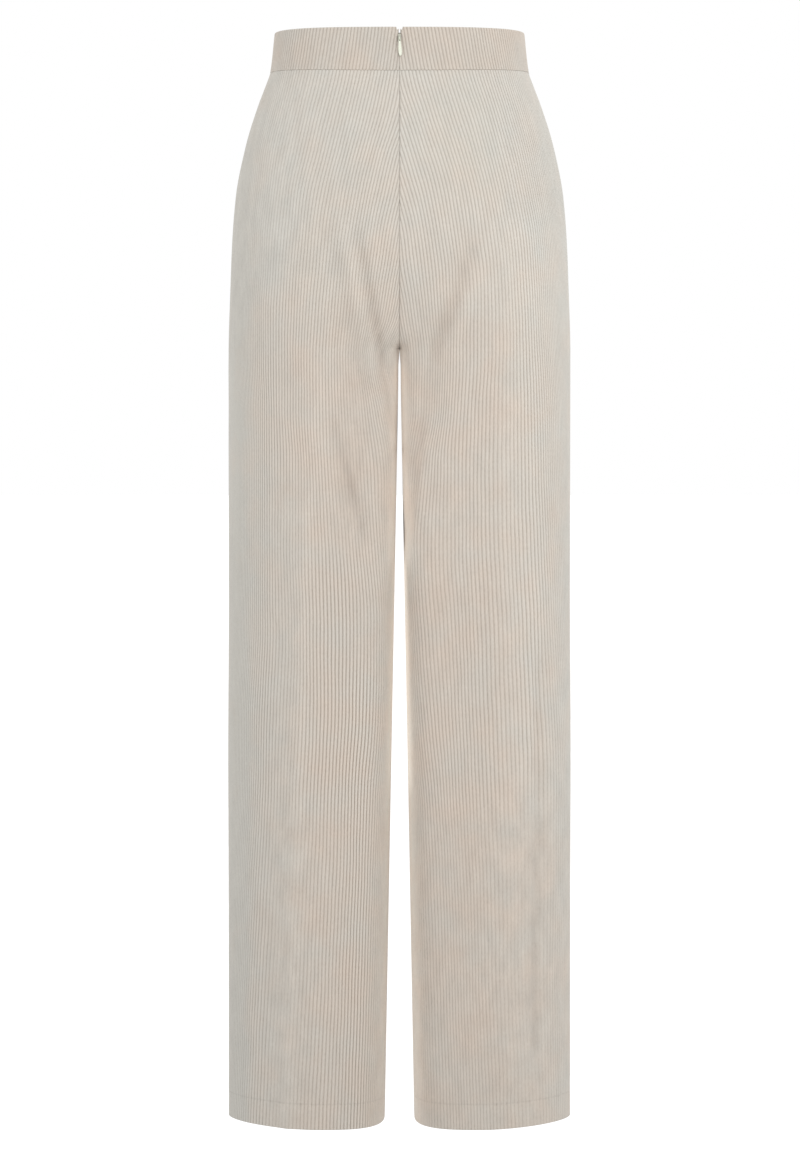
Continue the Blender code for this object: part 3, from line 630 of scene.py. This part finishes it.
class NodeTree:
    # adds nodes to one material and joins them
    def __init__(self, name, roughness):
        self.material = bpy.data.materials.new(name)
        self.material.use_nodes = True
        self.tree = self.material.node_tree
        self.shader = self.tree.nodes["Principled BSDF"]
        self.shader.inputs["Roughness"].default_value = roughness

    def add(self, kind, inputs=(), **settings):
        node = self.tree.nodes.new("ShaderNode" + kind)
        for key, value in settings.items():
            setattr(node, key, value)
        for key, value in dict(inputs).items():
            self.put(node.inputs[key], value)
        return node

    def put(self, socket, value):
        if isinstance(value, bpy.types.NodeSocket):
            self.tree.links.new(value, socket)
        else:
            socket.default_value = value

    def math(self, operation, first, second=0.0, third=0.0):
        inputs = {0: first, 1: second, 2: third}
        return self.add("Math", inputs, operation=operation).outputs[0]

    def read(self, name):
        return self.add("Attribute", attribute_name=name).outputs["Fac"]

    def noise(self, place, scale, detail):
        inputs = {"Vector": place, "Scale": scale, "Detail": detail}
        return self.add("TexNoise", inputs).outputs["Fac"]

    def ramp(self, factor, stops):
        node = self.add("ValToRGB", {"Fac": factor})
        elements = node.color_ramp.elements
        while len(elements) < len(stops):
            elements.new(0.5)
        for element, (position, colour) in zip(elements, stops):
            element.position = position
            element.color = (*colour, 1)
        return node.outputs["Color"]

    def mix(self, blend, factor, first, second):
        node = self.add("Mix", data_type="RGBA", blend_type=blend)
        self.put(node.inputs["Factor"], factor)
        self.put(node.inputs[6], first)
        self.put(node.inputs[7], second)
        return node.outputs[2]

    def bump(self, height, strength, distance):
        inputs = {"Height": height, "Strength": strength, "Distance": distance}
        node = self.add("Bump", inputs)
        self.put(self.shader.inputs["Normal"], node.outputs["Normal"])


def corduroyMaterial():
    made = NodeTree("corduroy", corduroy["roughness"])
    coordinates = made.add("TexCoord")
    place, alongWales = coordinates.outputs["Object"], coordinates.outputs["UV"]
    crush = made.read("crush")
    noises = corduroy["noises"]
    stretched = made.add("Mapping", {"Vector": alongWales, "Scale": corduroy["stretch"]})
    fuzz = made.noise(stretched.outputs[0], *noises["fuzz"])
    speck = made.noise(place, *noises["speck"])
    # the ramp's place: how high on the wale, flattened where the pile is crushed, so that the
    # painted shade in the grooves is fainter there
    grooveShadeContrast = made.math("MULTIPLY_ADD", crush, -corduroy["grooveShadeContrast"], corduroy["grooveShadeContrast"])
    level = made.math("SUBTRACT", made.read("ridge"), corduroy["middle"])
    level = made.math("MULTIPLY_ADD", level, grooveShadeContrast, 0.5)
    level = made.math("MULTIPLY_ADD", made.math("SUBTRACT", fuzz, 0.5), corduroy["fuzz"], level)
    colour = made.ramp(level, ((0.0, corduroy["groove"]), (0.5, corduroy["flank"]),
                               (1.0, corduroy["crown"])))
    warmth = made.math("SUBTRACT", made.noise(place, *noises["warmth"]), 0.5)
    warmth = made.math("MULTIPLY_ADD", warmth, corduroy["warmClouds"], made.read("warmth"))
    height = made.add("SeparateXYZ", {"Vector": place}).outputs["Z"]
    reach = {"Value": height, "From Min": corduroy["warmFrom"], "From Max": corduroy["warmTo"]}
    lower = made.add("MapRange", {**reach, "To Min": corduroy["hipWarmth"],
                                  "To Max": corduroy["legWarmth"]}).outputs[0]
    warmth = made.math("ADD", warmth, lower)
    tint = made.ramp(made.math("MULTIPLY_ADD", warmth, 0.5, 0.5),
                     ((0.0, corduroy["cool"]), (0.5, (1, 1, 1)), (1.0, corduroy["warm"])))
    colour = made.mix("MULTIPLY", 1.0, colour, tint)
    clouds = made.math("SUBTRACT", made.noise(place, *noises["clouds"]), 0.5)
    patches = made.noise(stretched.outputs[0], *noises["patches"])
    fresh = made.math("MAXIMUM", made.math("ADD", crush, corduroy["patchCrush"]), 0.0)
    patches = made.math("MULTIPLY", made.math("SUBTRACT", patches, 0.5), fresh)
    # painted shade that darkens the legs towards the hems
    foot = made.add("MapRange", {"Value": height, "From Min": form["crotch"] * mm,
                                 "From Max": form["hem"] * mm, "To Min": 0.0,
                                 "To Max": corduroy["footShade"]}).outputs[0]
    light = made.math("MULTIPLY_ADD", clouds, corduroy["clouds"], 1.0)
    light = made.math("MULTIPLY_ADD", patches, corduroy["patches"], light)
    # the marks' painted light and shade and the painted shade towards the hems join the random
    # lightness here
    light = made.math("ADD", made.math("ADD", light, foot), made.read("tone"))
    colour = made.mix("MULTIPLY", 1.0, colour, light)
    made.put(made.shader.inputs["Base Color"], colour)
    made.put(made.shader.inputs["Sheen Weight"], corduroy["sheen"])
    made.put(made.shader.inputs["Sheen Roughness"], corduroy["sheenRoughness"])
    made.put(made.shader.inputs["Specular IOR Level"], corduroy["specular"])
    made.bump(made.math("MULTIPLY_ADD", fuzz, 2.0, speck), *corduroy["bump"])
    return made.material


weave = {
    "wrongSide": (0.520, 0.475, 0.420),
    "wrongSideThreads": 1100,  # to the metre
    "tape": (0.70, 0.66, 0.58),
    "tapeThreads": 900,
    "dull": 0.72,              # between the threads, against their colour
    "threadShare": 0.6,
    "noiseShare": 0.4,
    "noise": (700, 2.0),
    "roughness": 0.85,
    "sheen": 0.15,
    "bump": (0.5, 0.0002),
}


def wovenMaterial(name, colour, perMetre, slanted):
    # two threads as sines across each other; slanted gives a herringbone on Object
    # coordinates, and otherwise the weave follows the piece's own UV map
    made = NodeTree(name, weave["roughness"])
    coordinates = made.add("TexCoord")
    place = coordinates.outputs["Object" if slanted else "UV"]
    axes = made.add("SeparateXYZ", {"Vector": place})
    across, along = axes.outputs["X"], axes.outputs["Z" if slanted else "Y"]
    if slanted:
        along = made.math("ADD", along, made.math("ABSOLUTE", across))
    turns = 2 * np.pi * perMetre
    warp = made.math("SINE", made.math("MULTIPLY", across, turns))
    weft = made.math("SINE", made.math("MULTIPLY", along, turns))
    threads = made.math("MULTIPLY_ADD", made.math("MULTIPLY", warp, weft), 0.5, 0.5)
    noise = made.noise(place, *weave["noise"])
    mixed = made.math("MULTIPLY_ADD", noise, weave["noiseShare"],
                      made.math("MULTIPLY", threads, weave["threadShare"]))
    dull = tuple(weave["dull"] * part for part in colour)
    made.put(made.shader.inputs["Base Color"], made.ramp(mixed, ((0.1, dull), (0.8, colour))))
    made.put(made.shader.inputs["Sheen Weight"], weave["sheen"])
    made.bump(threads, *weave["bump"])
    return made.material


enamelLook = {
    "name": "creamEnamel",
    "creams": ((0.25, (0.62, 0.63, 0.51)), (0.6, (0.76, 0.78, 0.67))),
    # the brown of the painted shade on the slider
    "paintedShadeColour": (0.10, 0.08, 0.065, 1),
    "roughness": 0.32,
    "coat": 0.4,
    "wear": (900, 3.0),  # scale and detail
    "bump": (0.15, 0.0001),
}
nylonLook = {
    "name": "coilNylon",
    "creams": ((0.3, (0.62, 0.57, 0.49)), (0.7, (0.75, 0.71, 0.63))),
    "roughness": 0.45,
    "coat": 0.0,
    "wear": (600, 2.0),
    "bump": (0.1, 0.0001),
}


def wornAndShadedMaterial(look):
    # paler and duller in turns as real wear, and painted shade in brown where the piece's shade
    # attribute asks for it
    made = NodeTree(look["name"], look["roughness"])
    wear = made.noise(made.add("TexCoord").outputs["Object"], *look["wear"])
    colour = made.ramp(wear, look["creams"])
    if "paintedShadeColour" in look:
        colour = made.mix("MIX", made.read("shade"), colour, look["paintedShadeColour"])
    made.put(made.shader.inputs["Base Color"], colour)
    made.put(made.shader.inputs["Coat Weight"], look["coat"])
    made.bump(wear, *look["bump"])
    return made.material


outsideMaterial = corduroyMaterial()
wrongSideMaterial = wovenMaterial("corduroyWrongSide", weave["wrongSide"],
                                  weave["wrongSideThreads"], False)
tapeMaterial = wovenMaterial("zipTapeTwill", weave["tape"], weave["tapeThreads"], True)
enamel = wornAndShadedMaterial(enamelLook)
nylon = wornAndShadedMaterial(nylonLook)
print("materials made")

# Rows of points from one edge to another, close together at both edges.
edgeRows = np.array((0, 0.2, 0.5, 0.9, 1.4, 2.2, 3.6))
crotchRows = form["crotch"] + np.array((0, 0.02, 0.1, 0.3, 0.8, 1.6, 3, 5, 8, 12))
hemRows = form["hem"] + cloth["hemDepth"] + np.array((-1.6, -0.8, 0, 0.4, 0.9, 1.7))


def rowHeights(top, foot, step, extra=()):
    # even steps between the edge rows, and a few rows more, from the top down
    count = round((top - foot) / step)
    middle = np.linspace(top - edgeRows[-1], foot + edgeRows[-1], count)[1:-1]
    rows = np.concatenate((top - edgeRows, middle, foot + edgeRows, extra))
    return np.unique(rows)[::-1]


panel = {
    "heights": rowHeights(form["waistSeam"] - form["seamGap"] + cloth["reach"], form["hem"],
                          cloth["rowStep"], (*crotchRows, *hemRows)),
    "tone": 0.0,
    "warmth": 0.0,
    "shift": 0.0,
    "wall": cloth["panelWall"],
    "topRoll": cloth["seamRoll"],
    "footRoll": cloth["edgeRoll"],
    "topFolded": 0,
    "footFolded": 1,
    "hem": True,
}
waistband = {
    "heights": rowHeights(form["waistTop"], form["waistSeam"] - cloth["reach"],
                          cloth["bandStep"], form["zipMouth"]["height"][:3]),
    "tone": -0.07,
    "warmth": 0.7,
    "shift": 0.4,  # the waistband's wales don't meet the panels'
    "wall": cloth["waistbandWall"],
    "topRoll": cloth["edgeRoll"],
    "footRoll": cloth["seamRoll"],
    "topFolded": 1,
    "footFolded": 0,
}


def makeCloth(name, node, face, sides, piece):
    # a cloth piece of one half or of both
    mesh = meshFrom(name, joined([clothHalf(face, side, piece) for side in sides]))
    if len(sides) > 1:
        welded(mesh, 0.01, solid=False)
    made = addPiece(mesh, (outsideMaterial, wrongSideMaterial), node)


def makeGarment():
    for side in sideSigns:
        for face in faceSigns:
            name = face + "Panel" + side.capitalize()
            makeCloth(name, f"{face}_panel_{side}", face, (side,), panel)
    for side in sideSigns:
        name = "waistbandBack" + side.capitalize()
        makeCloth(name, f"waistband_back_{side}", "back", (side,), waistband)
    whole = dict(waistband, seamed=False)
    makeCloth("waistbandFront", "waistband_front", "front", tuple(sideSigns), whole)


makeGarment()

# The zip, in millimetres.
zipPlace = {
    "bottom": -175.0,
    "pivot": (0.0, -91.9, 9.0),
    "wallFrom": -62.0,  # from here up the cloth's wall grows to the waistband's
}


def centreBack(height, behind):
    # y and z of the centre-back edge of the cloth, at a depth behind it
    height = np.asarray(height, dtype=float)
    depth = ringsAt("back", height)["depth"][:, -1]
    y = -(form["seamGap"] / 2 + depth - behind)
    return y, lowered("back", np.zeros_like(height), height)


def wallBehind(height):
    walls = (cloth["panelWall"], cloth["waistbandWall"])
    return np.interp(height, (zipPlace["wallFrom"], form["waistSeam"] - form["seamGap"]), walls)


def bent(value, power):
    # keeps the sign of a value and raises its size to a power
    return np.sign(value) * np.abs(value) ** power


def around(count):
    # angles of as many even steps once around
    return np.linspace(0, 2 * np.pi, count, endpoint=False)


def closedGrid(points, shade=0.0):
    # triangles of a surface that closes on itself along its second parameter
    rows, columns = points.shape[:2]
    index = np.arange(rows * columns).reshape(rows, columns)
    index = np.concatenate((index, index[:, :1]), axis=1)
    return {"points": points.reshape(-1, 3) * mm, "triangles": gridTriangles(index),
            "values": {"shade": np.broadcast_to(shade, (rows, columns)).ravel()}}


def capped(points):
    # rows of a tube with its first and last row drawn together to a point
    ends = points[[0, -1]].mean(axis=1, keepdims=True).repeat(points.shape[1], axis=1)
    return np.concatenate((ends[:1], points, ends[1:]))


def tube(path, normal, side, radius, sides=8):
    # a circle carried along a path, in the plane of two given directions at each point
    angle = around(sides)[None, :, None]
    return path[:, None] + radius * (np.cos(angle) * normal[:, None]
                                     + np.sin(angle) * side[:, None])


def pillow(centre, half, power, rows=21, columns=36):
    # a superellipsoid: rounder as its power nears one, boxier as it nears zero
    up = np.linspace(-np.pi / 2, np.pi / 2, rows)[:, None]
    turn = around(columns)[None, :]
    unit = np.stack((bent(np.cos(up), power) * bent(np.cos(turn), power),
                     bent(np.cos(up), power) * bent(np.sin(turn), power),
                     bent(np.sin(up), power) + 0 * turn), axis=2)
    return np.array(centre) + np.array(half) * unit


tape = {
    "top": 18.6,
    "width": 11.0,    # from the centre to the far edge
    "edge": {"height": (2.5, 5.0, 14.5, 19.0), "x": (0.55, 0.9, 0.9, 0.5)},
    "wall": 0.8,
    "gap": 0.4,       # behind the cloth
    "slant": 0.9,     # how steeply the top falls away outwards
    "slantPower": 8,  # how soon the slant dies away further down
    "powers": {"across": 0.8, "through": 0.5},
    "rows": 90,
    "columns": 40,
}


def makeTapes():
    # a flat loop of points carried down the zip just behind the cloth: across it lies
    # along the cloth's own ring, and its top falls away outwards
    height = np.linspace(tape["top"], zipPlace["bottom"], tape["rows"])
    turn = around(tape["columns"])[None, :]
    across = 0.5 - 0.5 * bent(np.cos(turn), tape["powers"]["across"])
    through = 0.5 + 0.5 * bent(np.sin(turn), tape["powers"]["through"])
    near = np.interp(height, tape["edge"]["height"], tape["edge"]["x"])[:, None]
    away = near + (tape["width"] - near) * across
    rings = ringsAt("back", height, seamed=False)
    x, depth, outX, outDepth = readRings(rings, rings["length"], rings["length"][:, -1:] - away,
                                         ("x", "depth", "outX", "outDepth"))
    behind = (wallBehind(height) + tape["gap"])[:, None] + tape["wall"] * (1 - through)
    x = x - behind * outX
    y = -(form["seamGap"] / 2 + depth - behind * outDepth)
    share = np.linspace(1, 0, len(height))[:, None] ** tape["slantPower"]
    z = lowered("back", x, height[:, None]) - tape["slant"] * (away - near) * share
    for side, sign in sideSigns.items():
        points = capped(np.stack((sign * x, y, z), axis=2))
        mesh = welded(meshFrom("zipTape" + side.capitalize(), closedGrid(points)))
        piece = addPiece(mesh, (tapeMaterial,), f"zip_tape_{side}")


coil = {
    "turn": 1.25,   # from one turn to the next
    "steps": 10,    # points in a turn
    "halfWidth": 0.85,
    "halfDepth": 0.38,
    "apart": 0.75,  # the helices' middles from the centre, in half widths
    "wire": 0.26,   # radius
    "wireSides": 5,
    "behindTape": 0.95,
    "belowSlider": 0.3,
    "aboveFoot": 2.0,
}


def makeCoil():
    # two helices side by side, half a turn apart, each an ellipse carried down the zip
    top, foot = slider["low"] - coil["belowSlider"], zipPlace["bottom"] + coil["aboveFoot"]
    steps = round((top - foot) / coil["turn"] * coil["steps"])
    height = np.linspace(top, foot, steps)
    behind = wallBehind(height) + tape["gap"] + tape["wall"] + coil["behindTape"]
    y, z = centreBack(height, behind)
    helices = []
    for side, sign in sideSigns.items():
        turn = 2 * np.pi * (top - height) / coil["turn"] + (np.pi if sign > 0 else 0)
        x = sign * coil["halfWidth"] * (coil["apart"] + np.cos(turn))
        path = np.stack((x, y + coil["halfDepth"] * np.sin(turn), z), axis=1)
        along = np.gradient(path, axis=0)
        along /= np.linalg.norm(along, axis=1)[:, None]
        normal = np.cross(along, (0.0, 0.0, 1.0))
        normal /= np.linalg.norm(normal, axis=1)[:, None]
        wire = tube(path, normal, np.cross(along, normal), coil["wire"], coil["wireSides"])
        helices.append(closedGrid(capped(wire)))
    mesh = welded(meshFrom("zipCoil", joined(helices)))
    addPiece(mesh, (nylon,), "zip_coil")


slider = {
    "low": 5.5,
    "high": 14.5,
    "body": (3.2, 1.3, 4.5),  # half sizes
    "plate": (1.5, 0.5, 3.6),
    "plateOut": 1.1,          # from the cloth out to the plate
    "neck": (0.45, 3.6),      # half its width and height
    "bail": (1.4, 1.8),       # half of its loop outwards and along the zip
    "bailWire": 0.36,
    "bailSteps": 40,
    "powers": {"body": 0.35, "plate": 0.45, "neck": 0.3, "bail": 0.6},
    "shades": {"body": 0.5, "plate": 0.42, "neck": 0.9, "bail": 0.1},  # 0 cream, 1 the brown of painted shade
    "paintedHollow": 10.0,             # height of the painted shade that stands for the hollow under the bail
    "paintedHollowHalf": (1.0, 1.1),
}


def makeSlider():
    # two boxy pillows joined by a neck, and the bail as a tube around a boxy loop; all carry
    # painted shade in brown, the neck most and the bail least, and the outer pillow, a plate, is
    # painted darkest where the hollow under the bail would be in shade
    powers, shades = slider["powers"], slider["shades"]
    middle = (slider["high"] + slider["low"]) / 2
    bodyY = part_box("zip_slider")[1].y / mm - slider["body"][1]
    plateY = centreBack([slider["low"]], 0.0)[0][0] - slider["plateOut"] - slider["plate"][1]
    angle = around(slider["bailSteps"])
    px, py, pz = zipPlace["pivot"]
    loop = np.stack((0 * angle + px, py + slider["bail"][0] * bent(np.cos(angle), powers["bail"]),
                     pz + slider["bail"][1] * bent(np.sin(angle), powers["bail"])), axis=1)
    along = np.roll(loop, -1, axis=0) - np.roll(loop, 1, axis=0)
    along /= np.linalg.norm(along, axis=1)[:, None]
    across = np.tile((1.0, 0.0, 0.0), (len(loop), 1))
    bail = tube(loop, np.cross(along, across), across, slider["bailWire"])
    body = pillow((0, bodyY, middle), slider["body"], powers["body"])
    plateZ = slider["low"] + slider["plate"][2]
    plate = pillow((0, plateY, plateZ), slider["plate"], powers["plate"])
    holeX, holeZ = slider["paintedHollowHalf"]
    fromHole = (plate[..., 0] / holeX) ** 2 + ((plate[..., 2] - slider["paintedHollow"]) / holeZ) ** 2
    plateShade = shades["plate"] + (1 - shades["plate"]) * np.exp(-fromHole)
    neckHalf = (slider["neck"][0], (bodyY - plateY) / 2, slider["neck"][1])
    neck = pillow((0, (bodyY + plateY) / 2, middle), neckHalf, powers["neck"])
    shapes = [
        closedGrid(body, shades["body"]),
        closedGrid(plate, plateShade),
        closedGrid(neck, shades["neck"]),
        closedGrid(np.concatenate((bail, bail[:1])), shades["bail"]),
    ]
    mesh = welded(meshFrom("zipSlider", joined(shapes)))
    addPiece(mesh, (enamel,), "zip_slider")


pullTab = {
    "length": 17.5,
    "wall": 0.9,
    "top": 1.15,          # half widths
    "foot": 1.75,
    "widensFrom": 0.2,    # shares of the way down
    "widensOver": 0.65,
    "lean": 0.05,         # sideways, as a share of the way down
    "eye": (0.72, 1.45),  # half its width and height
    "powers": {"outline": 0.5, "eyeX": 0.8, "eyeZ": 0.9, "section": 0.55},
    "rows": 64,           # around the ring
    "columns": 20,        # around its section
}


def makePullTab():
    # a drop-shaped ring: between its eye and its outline lies a flat-sided rounded
    # section, and it leans a little sideways
    powers = pullTab["powers"]
    turn = around(pullTab["rows"])[:, None]
    section = around(pullTab["columns"])[None, :]
    down = (1 - np.cos(turn)) / 2
    widen = np.clip((down - pullTab["widensFrom"]) / pullTab["widensOver"], 0, 1)
    wider = widen ** 2 * (3 - 2 * widen)
    half = pullTab["top"] + (pullTab["foot"] - pullTab["top"]) * wider
    bar = pullTab["wall"] / 2
    outlineX = half * bent(np.sin(turn), powers["outline"])
    outlineZ = bar - (pullTab["length"] + bar) * down
    eyeHalfX, eyeHalfZ = pullTab["eye"]
    eyeX = eyeHalfX * bent(np.sin(turn), powers["eyeX"])
    eyeZ = -bar - eyeHalfZ + eyeHalfZ * bent(np.cos(turn), powers["eyeZ"])
    share = 0.5 - 0.5 * bent(np.cos(section), powers["section"])
    thick = bar * bent(np.sin(section), powers["section"]) + 0 * turn
    x = eyeX + (outlineX - eyeX) * share
    z = eyeZ + (outlineZ - eyeZ) * share
    px, py, pz = zipPlace["pivot"]
    points = np.stack((px + x - pullTab["lean"] * z, py + thick, pz + z), axis=2)
    mesh = welded(meshFrom("zipPullTab", closedGrid(np.concatenate((points, points[:1])))))
    addPiece(mesh, (enamel,), "zip_pull_tab", body="pull_tab")


makeTapes()
makeCoil()
makeSlider()
makePullTab()

# The studio: a pale floor well below the hems, darker below the trousers as a painted shadow, an
# even white surround and soft lights.
# The glows stand between the legs and light their inner flanks.
studio = {
    "floorDrop": 0.45,  # metres from the hems down to the floor
    "floorRadius": 60.0,
    "floorSides": 64,
    "near": 0.70,       # the floor's lightness below the trousers, darkened there as a painted shadow
    "far": 0.95,        # and from there outwards, with a glow of its own
    "glow": 0.2,
    "nearRadius": 1.2,
    "farRadius": 2.2,
    "roughness": 0.9,
    "surround": 1.0,
    "lights": (
        # name, place, what it lights, width, height, power in watts
        ("softKey", (0.95, -1.4, 0.9), (0, 0, -0.2), 0.8, 0.8, 9.5),
        ("softFill", (-1.1, -1.5, 0.1), (0, 0, -0.2), 0.8, 0.8, 1.2),
    ),
    "glows": (
        # name, y, z, width, height, power to the left leg and to the right one
        ("TopGlow", -0.06, -0.339, 0.088, 0.096, 0.0075, 0.0100),
        ("ThighGlow", -0.055, -0.445, 0.08, 0.11, 0.0070, 0.0125),
        ("KneeGlow", 0, -0.61, 0.15, 0.22, 0.026, 0.075),
        ("CalfGlow", 0, -0.885, 0.15, 0.33, 0.030, 0.062),
    ),
}


def addLight(name, place, target, width, tall, power):
    light = bpy.data.lights.new(name, "AREA")
    light.shape = "RECTANGLE"
    light.size = width
    light.size_y = tall
    light.energy = power
    lamp = bpy.data.objects.new(name, light)
    lamp.location = place
    lamp.visible_camera = False
    aim = Vector(target) - Vector(place)
    lamp.rotation_euler = aim.to_track_quat("-Z", "Y").to_euler()
    bpy.context.scene.collection.objects.link(lamp)


def makeStudio():
    angle = np.linspace(0, 2 * np.pi, studio["floorSides"] + 1)
    rim = studio["floorRadius"] * np.stack((np.cos(angle), np.sin(angle), 0 * angle), axis=1)
    points = np.concatenate((np.zeros((1, 3)), rim))
    points[:, 2] = form["hem"] * mm - studio["floorDrop"]
    k = np.arange(1, studio["floorSides"] + 1)
    triangles = np.stack((0 * k, k, k + 1), axis=1)
    mesh = meshFrom("floor", {"points": points, "triangles": triangles})
    floor = bpy.data.objects.new("floor", mesh)
    made = NodeTree("paleFloor", studio["roughness"])
    place = made.add("TexCoord").outputs["Object"]
    flat = made.add("VectorMath", {0: place, 1: (1, 1, 0)}, operation="MULTIPLY")
    away = made.add("VectorMath", {0: flat.outputs[0]}, operation="LENGTH").outputs["Value"]
    reach = {"Value": away, "From Min": studio["nearRadius"], "From Max": studio["farRadius"]}
    pale = made.add("MapRange", {**reach, "To Min": studio["near"], "To Max": studio["far"]})
    glow = made.add("MapRange", {**reach, "To Min": 0.0, "To Max": studio["glow"]})
    made.put(made.shader.inputs["Base Color"], pale.outputs[0])
    made.shader.inputs["Emission Color"].default_value = (1, 1, 1, 1)
    made.put(made.shader.inputs["Emission Strength"], glow.outputs[0])
    floor.data.materials.append(made.material)
    bpy.context.scene.collection.objects.link(floor)
    world = bpy.data.worlds.new("surround")
    world.use_nodes = True
    background = world.node_tree.nodes["Background"]
    background.inputs["Color"].default_value = (1, 1, 1, 1)
    background.inputs["Strength"].default_value = studio["surround"]
    bpy.context.scene.world = world
    for row in studio["lights"]:
        addLight(*row)
    for name, y, z, width, tall, *powers in studio["glows"]:
        for (side, sign), power in zip(sideSigns.items(), powers):
            addLight(side + name, (0, y, z), (sign, y, z), width, tall, power)
    bpy.context.scene.view_settings.view_transform = "Standard"


camera = {
    "distance": 4.2,
    "across": 0.0005,
    "height": -0.359,
    "aimHeight": -0.515,
    "frameHeight": 1155,  # pixels
    "focalPixels": 4247.0,
}


def makeCamera():
    data = bpy.data.cameras.new("camera")
    data.sensor_width = 36
    data.lens = camera["focalPixels"] / camera["frameHeight"] * data.sensor_width
    eye = bpy.data.objects.new("camera", data)
    eye.location = (camera["across"], -camera["distance"], camera["height"])
    aim = Vector((camera["across"], 0, camera["aimHeight"])) - eye.location
    eye.rotation_euler = aim.to_track_quat("-Z", "Y").to_euler()
    bpy.context.scene.collection.objects.link(eye)
    bpy.context.scene.camera = eye


makeStudio()
makeCamera()
print("studio and camera made")
